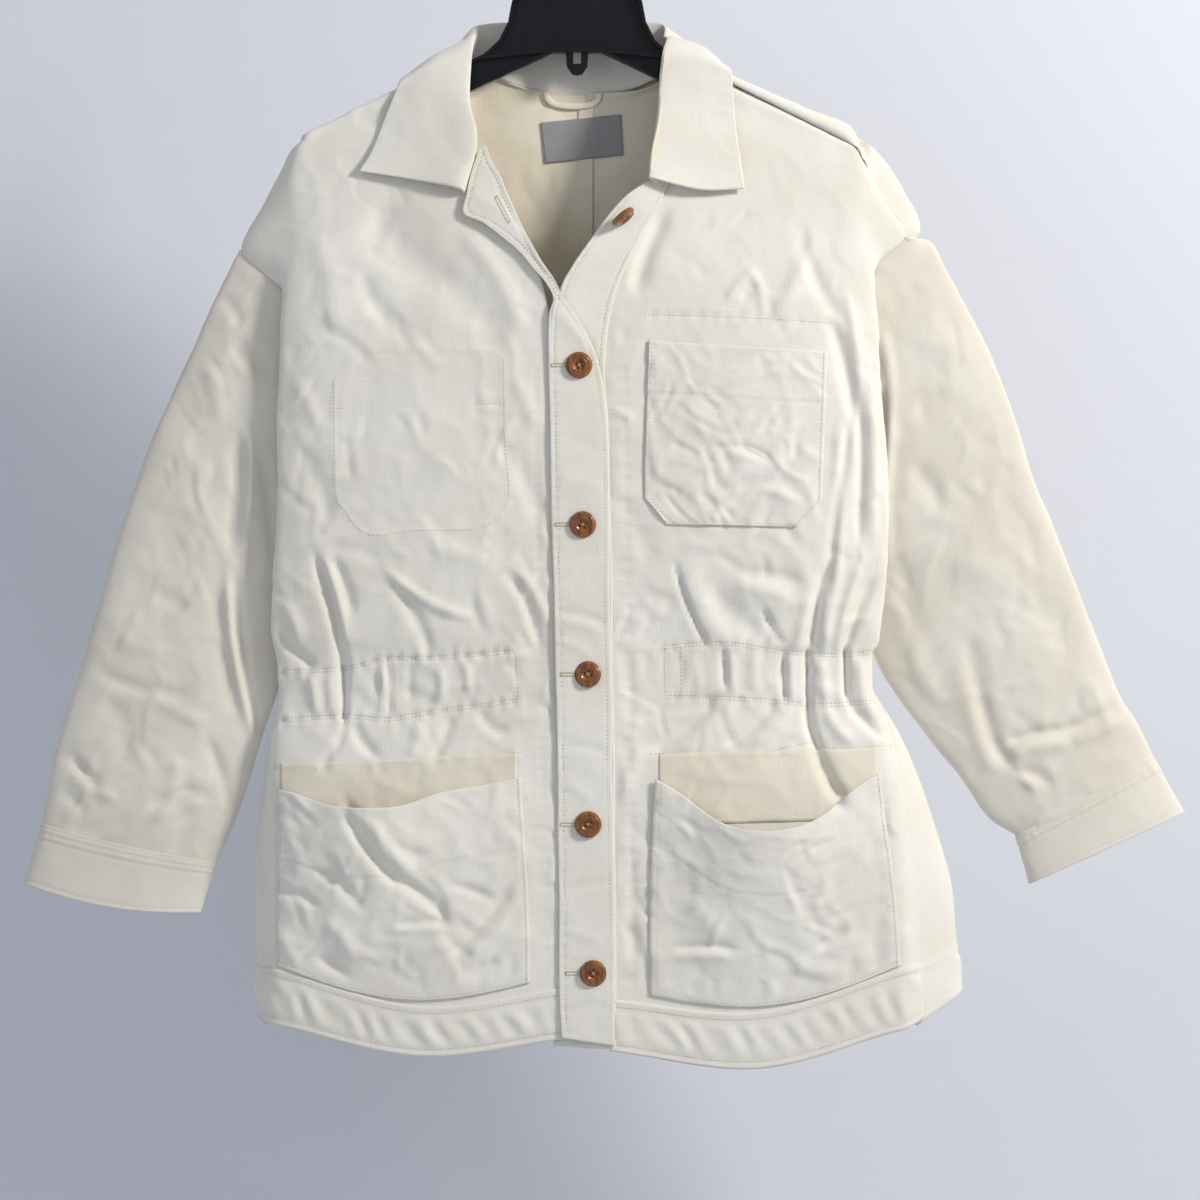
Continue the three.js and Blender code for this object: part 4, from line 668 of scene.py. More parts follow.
def backRow(row, frontRows, toSide):
    side = vec(row["sideX"], row["sideY"], row["sideZ"])
    onSeam = row["endY"] is None
    end = seamAt(frontRows, row["endZ"]) if onSeam else vec(row["endX"], row["endY"], row["endZ"])
    steer = next((r for r in frontRows if r["level"] == row["level"]), frontRows[-2])
    before = vec(steer["ridgeX"], steer["ridgeY"], steer["ridgeZ"]) if onSeam else 2 * end - side
    if onSeam:
        # the back's edge runs on under the front
        end = end + unit(before - end) * back["lap"] + vec(0, 0.8, -1) * back["lapIn"]
    neck = vec(row["neckX"], row["neckY"], row["neckZ"])
    knee = side + (neck - side) * back["kneeShare"]
    knee[1] = side[1] + (neck[1] - side[1]) * back["kneeDepth"]
    centre = vec(centreBackX + toSide * seamGap / 2, row["centreY"], row["centreZ"])
    curve = (neck + centre) / 2
    curve[1] = centre[1] - (centre[1] - neck[1]) * back["curveDepth"]
    curve[2] -= row["dip"]
    turn = neck + (curve - neck) * back["turn"]
    turn[1] = neck[1] + (curve[1] - neck[1]) * back["turnRise"]
    turn[2] = neck[2] + (curve[2] - neck[2]) * back["turnDrop"]
    if "turnX" in row:
        turn = vec(row["turnX"], row["turnY"], row["turnZ"])
    hold = knee + (neck - knee) * back["hold"]
    controls = [before, end, side, knee, hold, neck, turn, curve, centre, 2 * centre - curve]
    return line(controls, back["steps"])


def levelOf(rows, name):
    return next((r for r in rows if r["level"] == name), None)


def frontGrid(rows, backRows, side):
    return rise([frontRow(r, levelOf(backRows, r["level"]), side) for r in rows], front["spacing"])


def backGrid(rows, frontRows, toSide):
    return rise([backRow(r, frontRows, toSide) for r in rows], back["spacing"])


towardsFront, towardsBack = vec(0, -1, 0), vec(0, 1, 0)
rightFrontGrid, rightFrontStarts = frontGrid(rightFrontRows, rightBackRows, "right")
leftFrontGrid, leftFrontStarts = frontGrid(leftFrontRows, leftBackRows, "left")
rightBackGrid, rightBackStarts = backGrid(rightBackRows, rightFrontRows, -1)
leftBackGrid, leftBackStarts = backGrid(leftBackRows, leftFrontRows, 1)
print("sections worked out:", len(rightFrontGrid), len(leftFrontGrid), len(rightBackGrid),
      len(leftBackGrid))

# creases of the fronts, in places of the picture; high is in mm, and a trough is below nought
rightCreases = table(creaseColumns, [
    [389, 572, 470, 617, -5, 3.6, 1.7], [396, 588, 430, 655, 4, 5.0, -1.5],
    [317, 560, 346, 680, 3, 3.6, -2.8], [335, 560, 353, 614, 2, 4.0, -1.6],
    [326, 560, 346, 640, 2, 3.0, 1.2], [278, 632, 316, 667, -2, 4.0, -1.8],
    [284, 602, 300, 640, 2, 5.0, 1.2], [509, 575, 539, 647, 4, 3.4, -1.5],
    [518, 570, 546, 622, 3, 3.0, 1.0], [383, 664, 385, 712, 0, 2.6, 1.3],
    [389, 664, 390, 712, 0, 2.2, -1.2], [410, 664, 411, 700, 0, 2.6, -0.9],
    [440, 664, 442, 704, 1, 3.4, 0.8], [466, 662, 470, 690, 0, 3.0, 1.2], [432, 700, 460, 684, 1, 3.0, 0.7],
    [312, 676, 318, 712, 0, 4.0, 1.4], [344, 664, 345, 722, 0, 2.6, -3.0],
    [330, 676, 332, 712, 0, 3.0, 0.9], [347, 722, 322, 768, 2, 4.0, -1.6],
    [354, 722, 376, 756, -2, 4.0, -1.7], [335, 740, 330, 768, 1, 4.0, 1.0],
    [452, 716, 434, 760, 1, 4.5, -1.3], [478, 708, 508, 734, -3, 4.0, -1.1],
    [420, 722, 412, 756, 1, 5.0, 0.8], [500, 660, 530, 655, 1, 3.0, 0.8], [505, 724, 545, 712, 1, 4.0, 0.7],
    [377, 205, 441, 285, -8, 20.0, -2.4], [440, 280, 500, 345, 4, 14.0, -1.3],
    [362, 276, 412, 340, -6, 8.0, -1.2], [325, 322, 372, 306, -4, 7.0, 0.8],
    [318, 240, 340, 330, 2, 9.0, 0.8], [466, 238, 520, 330, 6, 8.0, 1.0],
    [347, 800, 398, 880, -3, 4.6, -2.6], [398, 876, 446, 916, 3, 4.6, -2.2],
    [372, 812, 416, 872, -2, 5.0, 1.4], [317, 868, 362, 904, 4, 5.0, -1.6],
    [272, 888, 318, 904, 3, 4.0, -1.3], [398, 923, 452, 920, 1, 3.0, -1.0],
    [392, 929, 448, 928, 1, 3.4, 0.9], [509, 886, 455, 950, 3, 4.0, -1.6],
    [516, 900, 466, 956, 3, 4.4, 1.1], [450, 883, 490, 896, 1, 3.0, -0.8],
    [322, 954, 392, 996, -8, 8.0, -1.6], [330, 920, 372, 960, -4, 7.0, 1.2],
    [410, 960, 452, 940, 3, 7.0, 1.1], [280, 930, 300, 980, 2, 5.0, 1.0],
    [470, 978, 500, 960, 2, 5.0, -1.0], [300, 450, 330, 520, 3, 7.0, -0.9],
    [295, 380, 320, 430, 2, 6.0, 0.7], [500, 440, 540, 520, 4, 8.0, -0.9],
    [430, 545, 500, 560, -2, 6.0, 0.7], [330, 545, 380, 560, 2, 6.0, -0.7],
    [515, 380, 535, 430, 2, 6.0, 0.7],
])
leftCreases = table(creaseColumns, [
    [665, 214, 636, 292, -3, 7.0, -2.0], [650, 214, 622, 282, -3, 6.0, 0.9],
    [812, 238, 778, 312, 3, 7.0, 1.3], [802, 236, 836, 315, -4, 6.0, -1.3],
    [727, 300, 752, 272, 1, 3.4, 0.9], [752, 272, 764, 312, 1, 3.4, 0.9],
    [742, 300, 756, 286, 1, 3.4, -0.9], [832, 326, 853, 418, 2, 5.0, -2.0],
    [847, 300, 862, 420, 2, 4.6, 1.3], [868, 372, 872, 534, 2, 4.6, 1.6],
    [860, 400, 858, 540, 1, 3.6, -2.0], [838, 430, 836, 560, 1, 4.6, 1.3],
    [848, 430, 828, 600, -2, 3.6, -1.8], [612, 410, 632, 424, 2, 4.0, 0.7],
    [675, 565, 709, 648, -3, 2.0, -1.6], [688, 572, 722, 640, -3, 9.0, 1.0],
    [712, 590, 762, 636, -3, 10.0, -1.8], [762, 606, 783, 644, -2, 2.6, -1.3],
    [742, 574, 800, 584, 3, 6.0, -1.2], [737, 586, 790, 600, 2, 6.0, 1.1],
    [826, 566, 811, 650, -2, 3.6, -3.2], [838, 560, 824, 650, -2, 4.4, 1.7],
    [872, 582, 845, 652, -2, 3.4, -2.6], [862, 560, 836, 646, -2, 4.0, 1.3],
    [808, 600, 796, 650, -1, 4.0, 1.1], [723, 648, 725, 688, 0, 2.4, -1.7],
    [730, 654, 733, 690, 0, 3.4, 0.8], [782, 648, 783, 700, 0, 2.2, -1.9],
    [790, 656, 792, 700, 0, 3.4, 1.1], [807, 648, 808, 704, 0, 2.6, -3.6],
    [820, 660, 824, 700, 0, 4.6, 1.5], [845, 648, 846, 700, 0, 2.6, -3.2],
    [858, 660, 862, 700, 0, 4.0, 1.5], [875, 650, 877, 676, 0, 3.0, -1.6],
    [752, 656, 756, 694, 0, 4.4, 0.9], [693, 655, 700, 690, 0, 4.0, 0.6],
    [717, 694, 650, 748, 4, 4.6, -1.8], [732, 700, 676, 752, 4, 6.0, 1.2],
    [776, 700, 724, 744, 3, 3.6, -1.8], [790, 706, 752, 744, 2, 5.0, 1.2],
    [808, 702, 815, 742, -2, 3.6, -3.4], [814, 740, 842, 800, -3, 5.0, -3.2],
    [826, 712, 850, 742, -2, 5.0, 1.5], [849, 702, 888, 737, -3, 4.0, -2.2],
    [862, 700, 892, 722, -2, 4.0, 1.2], [638, 740, 622, 800, 1, 6.0, 0.9],
    [625, 650, 630, 720, 1, 6.0, -0.7], [612, 500, 650, 560, 3, 9.0, -0.8],
    [700, 560, 640, 600, 3, 9.0, 0.7], [676, 948, 734, 946, 2, 3.0, -1.2],
    [676, 956, 730, 956, 2, 4.0, 0.9], [844, 928, 818, 946, 1, 3.4, -1.2],
    [852, 934, 824, 952, 1, 4.0, 0.9], [764, 981, 740, 1006, 2, 5.0, -1.4],
    [775, 985, 752, 1008, 2, 5.0, 1.0], [690, 900, 720, 936, 3, 9.0, 0.9],
    [790, 960, 850, 976, -3, 8.0, 0.9], [880, 900, 868, 960, 1, 6.0, -0.8],
    [628, 850, 634, 960, 1, 5.0, -0.8], [640, 720, 626, 740, 1, 4.0, 0.8],
])
inPocketCreases = table(creaseColumns, [
    [716, 448, 772, 462, 4, 4.0, -1.5], [688, 414, 748, 458, -4, 5.0, 1.2],
    [705, 430, 730, 470, 2, 4.0, -0.8], [776, 470, 812, 452, 2, 4.0, 0.8],
    [668, 470, 700, 500, 3, 6.0, 0.8], [740, 490, 800, 484, 3, 5.0, -0.8],
    [660, 420, 676, 440, 1, 4.0, 0.6], [700, 360, 760, 368, 1, 6.0, -0.4],
    [770, 372, 812, 380, 1, 5.0, 0.4],
])



def sewn(groove, pucker, rows, line, **more):
    # a sewn line: how deep its groove and puckers are, where its rows of stitches lie, and its places
    return {"line": line, "groove": groove, "pucker": pucker, "rows": rows, **more}


# the waist casing comes first, then what is sewn on the front from the chest down
rightSeams = [
    sewn(0.6, 0.7, (1.5,), [(276, 672), (349, 668), (385, 659), (429, 658), (516, 651)],
         pitch=10, proud=(-1, 0.25, 42)),
    sewn(0.6, 0.7, (1.5,), [(276, 721), (347, 716), (390, 719), (419, 714), (526, 699)], pitch=11),
    sewn(0.3, 0.1, (0,), [(516, 651), (519, 700)]),
    sewn(-0.35, 0.05, (), [(362, 350), (430, 351), (499, 352)], wide=1.4),
    sewn(-0.3, 0.12, (0,), [(335, 380), (335, 440), (338, 500), (344, 509), (367, 534), (414, 531),
                            (487, 526), (507, 505), (505, 440), (504, 356)], wide=1.3, pitch=12),
    sewn(0.5, 0.1, (0,), [(476, 404), (504, 405)], wide=1.2),
    sewn(0.5, 0.1, (0,), [(333, 409), (347, 409)], wide=1.2),
    sewn(0.35, 0.2, (0,), [(262, 764), (296, 772), (332, 765), (371, 767), (410, 766), (458, 760),
                           (524, 751)], pitch=14),
    sewn(0.25, 0.25, (), [(536, 366), (537, 520), (542, 700), (546, 1000)], pitch=8),
]
leftSeams = [
    sewn(0.55, 0.5, (1.5,), [(664, 647), (722, 643), (779, 651), (842, 655), (880, 651)],
         pitch=11, proud=(-1, 0.25, 42)),
    sewn(0.55, 0.5, (1.5,), [(666, 697), (712, 697), (773, 701), (819, 705), (880, 701)], pitch=12),
    sewn(0.35, 0.1, (0,), [(664, 647), (665, 697)]),
    sewn(0.2, 0.05, (0,), [(681, 647), (681, 697)]),
    sewn(0.4, 0.3, (0,), [(644, 316), (700, 317), (770, 320), (832, 324)], pitch=11),
    sewn(0.35, 0.2, (0,), [(650, 753), (707, 753), (743, 756), (779, 748), (809, 743), (824, 747),
                           (893, 745)], pitch=13),
    sewn(0.2, 0.3, (), [(624, 366), (626, 520), (630, 700), (634, 1000)], pitch=9),
    sewn(0.9, 0.5, (), [(894, 723), (902, 779), (914, 830), (918, 881), (919, 949)],
         wide=1.8, pitch=8, reach=4),
]
frontLook = {"creases": 2.0, "crumple": 1.75, "small": 150, "smallFrom": 300, "held": 14, "quietFrom": 330}


def frontRelief(grid, starts, rows, seams, shift):
    x, z = grid[..., 0], grid[..., 2]
    inEdge = np.linalg.norm(grid - grid[:, :1], axis=-1)
    count = sum(front["steps"])
    column = np.arange(count + 1)[None, :]
    # the last columns turn the side, where the cloth is held by the seam
    last = front["steps"][3]
    turned = 1 - smooth((column - (count - last - front["steps"][2] * 0.5)) / last)
    held = smooth(inEdge / frontLook["held"]) * (0.15 + 0.85 * turned)
    quiet = 0.55 + 0.45 * smooth((-z - frontLook["quietFrom"]) / 160)
    smallShare = 0.45 + 0.55 * smooth((-z - frontLook["smallFrom"]) / 120)
    relief = (creases(rows, x, z) * frontLook["creases"]
              + crumple(x, z, shift) * frontLook["crumple"] * quiet
              + smallCreases(x, z, spread(x, z), frontLook["small"], 100 + shift) * smallShare)
    sewnRelief = seamRelief(seams, x, z) * smooth(inEdge / 5) * (0.2 + 0.8 * turned)
    return (relief * held + sewnRelief) * calmAt(grid, starts)


lift = {"high": 2.6, "x": 28, "width": 26, "below": 350, "within": 40}


def lifted(grid):
    # below the lapel the left front and its placket lie close up under the right placket
    below = smooth((-grid[..., 2] - lift["below"]) / lift["within"])
    out = grid.copy()
    out[..., 1] -= lift["high"] * bell(grid[..., 0], lift["x"], lift["width"]) * below
    return out


def raised(grid, towards, relief, closed=False):
    return grid + outward(grid, towards, closed) * relief[..., None]


def calmAt(grid, starts):
    # the cloth lies flat where the hem band is sewn over it
    rows = np.abs(np.arange(len(grid)) - starts[1])[:, None]
    return 0.1 + 0.9 * smooth((rows - 2) / 8)


rightRelief = frontRelief(rightFrontGrid, rightFrontStarts, rightCreases, rightSeams, 1)
rightFull = raised(rightFrontGrid, towardsFront, rightRelief)
leftRelief = frontRelief(leftFrontGrid, leftFrontStarts, leftCreases, leftSeams, 4)
leftFull = lifted(raised(leftFrontGrid, towardsFront, leftRelief))
leftFrontGrid = lifted(leftFrontGrid)

backLook = {"pleats": 2.0, "pitch": 17, "waistZ": -632, "waistHigh": 34, "drags": 1.7, "crumple": 1.8,
            "smallShare": 0.9, "small": 130}


def backRelief(grid, starts, shift):
    x, z = grid[..., 0], grid[..., 2]
    count = sum(back["steps"])
    column = np.arange(count + 1)[None, :]
    held = smooth((column - 3) / 12) * smooth(np.abs(x - centreBackX) / 9)
    waist = bell(z, backLook["waistZ"], backLook["waistHigh"])
    pleats = beat(x, 8, 40, backLook["pitch"], shift + 2) * (0.6 + 0.7 * wobble(x, 0 * x, 50, shift))
    # long soft drags fall from the shoulder blades and rise again from the waist cord
    drags = 1.3 * wobble(x + 0.18 * z, z * 0.22, 46, shift + 6) * smooth((-z - 230) / 120)
    neckQuiet = smooth((-z - 190) / 70)
    dimples = smallCreases(x, z, spread(x, z), backLook["small"], 400 + shift)
    soft = backLook["crumple"] * crumple(x, z, shift) + backLook["smallShare"] * dimples
    relief = held * (backLook["pleats"] * waist * pleats + backLook["drags"] * drags
                     + soft * (0.35 + 0.65 * neckQuiet))
    return relief * calmAt(grid, starts)


rightBackFull = raised(rightBackGrid, towardsBack, backRelief(rightBackGrid, rightBackStarts, 8))
leftBackFull = raised(leftBackGrid, towardsBack, backRelief(leftBackGrid, leftBackStarts, 9))

hem = {"under": 3, "proud": 0.9, "thick": 1.5, "rope": 1.1, "pitch": 19, "rows": (0.13, 0.84),
       "rowWide": 0.045, "rowDeep": 0.85}


def hemRelief(grid, shift):
    # a hem band twists between its two rows of stitches: short slanting puckers
    x, z = grid[..., 0], grid[..., 2]
    t = np.linspace(0, 1, grid.shape[0])[:, None]
    between = np.sin(math.pi * np.clip((t - 0.12) / 0.72, 0, 1))
    slant = np.sin(2 * math.pi * (x + 0.5 * z + 7 * wobble(x, z, 34, shift)) / hem["pitch"])
    rope = hem["rope"] * slant * (0.35 + np.abs(wobble(x, z, 45, shift + 1)) * 1.6)
    rows = -hem["rowDeep"] * sum(bell(t, place, hem["rowWide"]) for place in hem["rows"])
    return between * (rope + 0.5 * crumple(x, z, shift)) + rows


def splitAtHem(full, flat, starts):
    # a panel runs on a few rows under its hem band
    seam = starts[1]
    return full[seam - hem["under"]:], flat[seam - hem["under"]:], flat[:seam + 1]


def hemBand(low, towards, shift):
    return raised(low, towards, hem["proud"] + hemRelief(low, shift))


rightPanel, rightPanelFlat, rightLow = splitAtHem(rightFull, rightFrontGrid, rightFrontStarts)
leftPanel, leftPanelFlat, leftLow = splitAtHem(leftFull, leftFrontGrid, leftFrontStarts)
rightBackPanel, rightBackFlat, rightBackLow = splitAtHem(rightBackFull, rightBackGrid, rightBackStarts)
leftBackPanel, leftBackFlat, leftBackLow = splitAtHem(leftBackFull, leftBackGrid, leftBackStarts)
backRows = min(len(rightBackLow), len(leftBackLow))
backLow = np.concatenate([rightBackLow[:backRows], leftBackLow[:backRows, ::-1][:, 1:]], 1)
rightBand = hemBand(rightLow, towardsFront, 2)
leftBand = hemBand(leftLow, towardsFront, 3)
backBand = hemBand(backLow, towardsBack, 5)

cloth = {"panel": 1.1, "band": 1.5, "collar": 1.5}
panels = {}
for name, grid, flat, thick, towards, node in (
        ("rightFrontCloth", rightPanel, rightPanelFlat, cloth["panel"], towardsFront, "right_front"),
        ("leftFrontCloth", leftPanel, leftPanelFlat, cloth["panel"], towardsFront, "left_front"),
        ("backRightCloth", rightBackPanel, rightBackFlat, cloth["panel"], towardsBack, "back_right"),
        ("backLeftCloth", leftBackPanel, leftBackFlat, cloth["panel"], towardsBack, "back_left"),
        ("hemBandRightFront", rightBand, rightLow, hem["thick"], towardsFront, "hem_band_right_front"),
        ("hemBandLeftFront", leftBand, leftLow, hem["thick"], towardsFront, "hem_band_left_front"),
        ("hemBandBack", backBand, backLow, hem["thick"], towardsBack, "hem_band_back")):
    panels[node] = clothPiece(name, grid, thick, towards, bodyTwill, insideTwill)
    sew(panels[node], node)
print("panels and hem bands made")

# sleeves and cuffs
sleeveColumns = ["outerX", "outerZ", "innerX", "innerZ", "frontY", "backY", "sag"]
rightSleeveRows = table(sleeveColumns, [
    [-269, -312, -218, -534, -8, 13, 0],
    [-281, -336, -220, -548, -8, 14, 0],
    [-295, -368, -222, -564, -8, 14, 0],
    [-313, -407, -223, -580, -8, 14, 0],
    [-329, -443, -224, -598, -9, 14, 0],
    [-340, -474, -227, -616, -9, 14, 0],
    [-350, -504, -231, -636, -10, 14, 0],
    [-360, -537, -238, -656, -11, 13, 0],
    [-369, -570, -247, -684, -12, 13, 0],
    [-386, -628, -257, -718, -12, 12, 0],
    [-401, -677, -266, -741, -12, 12, 0],
    [-413, -738, -278, -768, -12, 12, 2],
])
rightCuffRows = table(sleeveColumns, [
    [-413.2, -738.6, -278.3, -768.6, -12, 12, 2],
    [-420, -762, -285, -788, -12.5, 12.5, 4],
    [-427, -785, -291, -807, -13, 13, 7],
])
leftSleeveRows = table(sleeveColumns, [
    [273, -289, 217, -534, -7, 13, 0],
    [284, -308, 219, -548, -8, 14, 0],
    [299, -336, 221, -562, -8, 14, 0],
    [318, -373, 222, -577, -8, 14, 0],
    [333, -410, 225, -592, -8, 14, 0],
    [343, -440, 229, -607, -8, 14, 0],
    [353, -474, 235, -621, -9, 14, 0],
    [367, -507, 245, -637, -10, 14, 0],
    [383, -548, 261, -659, -11, 13, 0],
    [402, -597, 279, -682, -12, 12, 0],
    [420, -641, 296, -702, -12, 12, 0],
    [434, -663, 318, -734, -12, 12, 0],
    [445, -687, 338, -747, -12, 12, 0],
])
leftCuffRows = table(sleeveColumns, [
    [445.4, -687.7, 338.4, -747.7, -12, 12, 0],
    [457, -709, 344, -766, -12.5, 12.5, 0],
    [469, -730, 349, -785, -13, 13, 0],
])
sleeve = {"sides": 156, "fullness": 0.8, "out": 0.7, "drop": 1.1, "behind": 1.6, "tip": 0.5,
          "ease": [0.62, 0.34, 0.14], "spacing": 3.3, "tuck": 7, "tuckDown": 0.4, "tuckIn": 0.72,
          "intoCuff": 7, "cuffFlat": 0.92}
armholeLevels = ["underarm", "armLow", "armMid", "armHigh", "chest", "lapelLow", "lapelMid", "point"]
ringAngles = 2 * math.pi * np.arange(sleeve["sides"]) / sleeve["sides"]
ringAcross = (1 - np.cos(ringAngles)) / 2


def ringOf(row):
    outer, inner = vec(row["outerX"], 0, row["outerZ"]), vec(row["innerX"], 0, row["innerZ"])
    ring = outer + (inner - outer) * ringAcross[:, None]
    turn = np.sign(np.sin(ringAngles)) * np.abs(np.sin(ringAngles)) ** sleeve["fullness"]
    ring[:, 1] = (row["frontY"] + row["backY"]) / 2 - turn * (row["backY"] - row["frontY"]) / 2
    ring[:, 2] -= row["sag"] * np.sin(math.pi * ringAcross)
    return ring


def alongPath(points, shares):
    run = runOf(points)
    return np.stack([np.interp(shares * run[-1], run, points[:, k]) for k in range(3)], -1)


def sleeveHead(frontRows, backRows, toSide):
    def endOf(row):
        if row["endY"] is None:
            return seamAt(frontRows, row["endZ"])
        return vec(row["endX"], row["endY"], row["endZ"])

    def ends(rows):
        return np.array([endOf(levelOf(rows, name)) for name in armholeLevels[::-1]])

    inFront = ringAngles <= math.pi
    frontRing, backRing = (alongPath(ends(rows), ringAcross) for rows in (frontRows, backRows))
    ring = np.where(inFront[:, None], frontRing, backRing)
    ring[:, 0] += toSide * np.where(inFront, sleeve["out"], 2 * sleeve["out"])
    ring[:, 2] -= sleeve["drop"] * (1 + ringAcross)
    ring[:, 1] += np.where(inFront, sleeve["behind"] * np.sin(math.pi * ringAcross), 0)
    ring[0, 1] = ends(frontRows)[0][1] + sleeve["tip"]
    return ring


def sleeveGrid(rows, frontRows, backRows, toSide):
    head = sleeveHead(frontRows, backRows, toSide)
    straight = ringOf({**rows[0], "outerX": head[0][0], "outerZ": head[0][2]})
    bow = (head - straight) * np.sin(math.pi * ringAcross)[:, None]
    rings = [ringOf(row) for row in rows]
    for ring, share in zip(rings, sleeve["ease"]):
        ring += bow * share
    # the head runs on inside the armhole, and the other end into the cuff
    middle = head.mean(axis=0)
    inside = head + vec(-toSide * sleeve["tuck"], 0, sleeve["tuck"] * sleeve["tuckDown"])
    inside[:, 1] = middle[1] + (head[:, 1] - middle[1]) * sleeve["tuckIn"]
    hidden = rings[-1] + unit(rings[-1] - rings[-2]) * sleeve["intoCuff"]
    hidden[:, 1] *= sleeve["cuffFlat"]
    return rise([inside, head, *rings, hidden], sleeve["spacing"])[0]


rightSleeveCreases = table(creaseColumns, [
    [218, 294, 240, 324, 2, 5.0, -1.2], [231, 348, 268, 372, 3, 9.0, -1.6],
    [205, 366, 219, 418, 2, 8.0, 1.0], [240, 440, 231, 550, 2, 7.0, -1.8],
    [249, 432, 244, 530, 2, 5.0, 1.4], [262, 455, 272, 560, 2, 6.0, -1.4],
    [227, 575, 254, 738, -5, 3.6, 1.9], [238, 590, 262, 735, -4, 4.4, -2.0],
    [216, 590, 238, 720, -4, 7.0, -0.9], [154, 596, 186, 608, 2, 6.0, -1.1],
    [98, 672, 186, 694, -5, 5.0, -1.1], [150, 690, 206, 722, -4, 6.0, 0.9],
    [54, 750, 98, 792, 3, 4.6, -1.6], [70, 773, 115, 799, -2, 4.0, 1.3], [60, 792, 84, 812, 1, 4.0, -1.2],
    [148, 811, 196, 789, 3, 4.0, -1.3], [156, 820, 204, 802, 2, 4.0, 1.0],
    [176, 758, 168, 800, 2, 6.0, 0.9], [120, 640, 160, 652, 2, 8.0, 0.8],
    [160, 470, 200, 500, 4, 12.0, -0.9], [170, 430, 190, 560, 5, 14.0, 0.9],
    [108, 700, 130, 760, 3, 9.0, -0.9], [206, 740, 232, 810, 2, 6.0, -1.0],
])
leftSleeveCreases = table(creaseColumns, [
    [918, 414, 944, 394, 2, 5.0, -1.0], [914, 466, 940, 508, 3, 7.0, -1.1],
    [979, 486, 1012, 466, 2, 6.0, -1.0], [968, 640, 979, 692, -2, 8.0, -1.2],
    [979, 690, 1006, 764, -3, 6.0, -1.7], [962, 650, 992, 770, -4, 8.0, 1.0],
    [1008, 742, 1062, 731, 2, 4.0, -2.0], [1060, 731, 1122, 701, -3, 4.0, -1.8],
    [1012, 754, 1070, 744, 2, 6.0, 1.5], [1070, 742, 1126, 716, -2, 5.0, 1.1],
    [1017, 772, 1052, 786, 3, 5.0, -1.2], [1018, 776, 1036, 790, 1, 4.0, 1.0],
    [881, 330, 892, 404, 2, 3.6, 1.6], [892, 404, 884, 500, 1, 3.6, 1.8], [884, 495, 888, 560, 1, 4.0, 1.1],
    [880, 396, 880, 436, 0, 2.6, -2.2], [900, 560, 912, 640, 2, 8.0, -1.2],
    [905, 610, 935, 700, -3, 8.0, 1.0], [1040, 600, 1070, 660, 4, 12.0, -0.9],
    [960, 560, 1010, 600, 4, 12.0, 0.9], [940, 330, 975, 420, 6, 16.0, 0.8],
    [1000, 500, 1040, 560, 4, 10.0, -0.8], [1090, 680, 1110, 730, 2, 6.0, 0.8],
    [930, 760, 975, 790, 2, 6.0, 0.8],
])


sleeveLook = {"creases": 2.0, "hidden": 0.8, "crumple": 1.8, "smallShare": 0.8, "small": 90, "apart": 400}


def sleeveRelief(grid, rows, shift):
    x, z = grid[..., 0], grid[..., 2]
    facing = np.where(ringAngles <= math.pi, 1.0, 0.0)[None, :]
    # the back of a sleeve has the same kinds of crease in other places
    hidden = creases(rows, x * 0.97 + 14, z * 0.97 - 22) * sleeveLook["hidden"]
    shown = creases(rows, x, z)
    edges = smooth(np.sin(math.pi * ringAcross) / 0.55)[None, :]
    ends = smooth(np.linspace(0, 1, grid.shape[0]) / 0.03)[:, None]
    box, count = spread(x, z), sleeveLook["small"]
    dimples = sum(smallCreases(x + sleeveLook["apart"] * away, z, box, count, seed + shift)
                  for away, seed in ((1 - facing, 100), (facing, 200)))
    soft = (sleeveLook["crumple"] * crumple(x + 60 * (1 - facing), z, shift)
            + sleeveLook["smallShare"] * dimples)
    relief = sleeveLook["creases"] * np.where(facing > 0, shown, hidden) + soft
    return relief * (0.25 + 0.75 * edges) * ends


def awayFrom(grid):
    return grid - grid.mean(1, keepdims=True)


for name, rows, frontRows, backRows, toSide, marks, shift, node, on in (
        ("rightSleeveCloth", rightSleeveRows, rightFrontRows, rightBackRows, -1, rightSleeveCreases, 12,
         "right_sleeve", "rightFrontCloth"),
        ("leftSleeveCloth", leftSleeveRows, leftFrontRows, leftBackRows, 1, leftSleeveCreases, 15,
         "left_sleeve", "leftFrontCloth")):
    grid = sleeveGrid(rows, frontRows, backRows, toSide)
    full = raised(grid, awayFrom(grid), sleeveRelief(grid, marks, shift), True)
    # the sleeve's twill is the darker copy of the cream, painted shade
    panels[node] = clothPiece(name, full, cloth["panel"], awayFrom(grid), shadedSleeveTwill, insideTwill, True)
    sew(panels[node], node)

# where a cuff's stitch rows and its rolled edges lie, as shares of its height
cuff = {"spacing": 1.3, "wider": [1.006, 1.07, 1.006], "rows": (0.05, 0.13, 0.24, 0.93), "rowWide": 0.022,
        "rowDeep": 0.45, "rollWide": 0.05, "pitch": 7, "puckers": 0.16}


def cuffRelief(grid, shift):
    x, z = grid[..., 0], grid[..., 2]
    t = np.linspace(0, 1, grid.shape[0])[:, None]
    s = runOf(grid[0])[None, :]
    rows = -cuff["rowDeep"] * sum(bell(t, place, cuff["rowWide"]) for place in cuff["rows"])
    roll = 0.5 * bell(t, 0.09, cuff["rollWide"]) + 0.45 * bell(t, 0.185, cuff["rollWide"])
    puckers = cuff["puckers"] * beat(s, 4, 20, cuff["pitch"], shift) * bell(t, 0.15, 0.12)
    return rows + roll + puckers + 0.4 * crumple(x, z, shift)


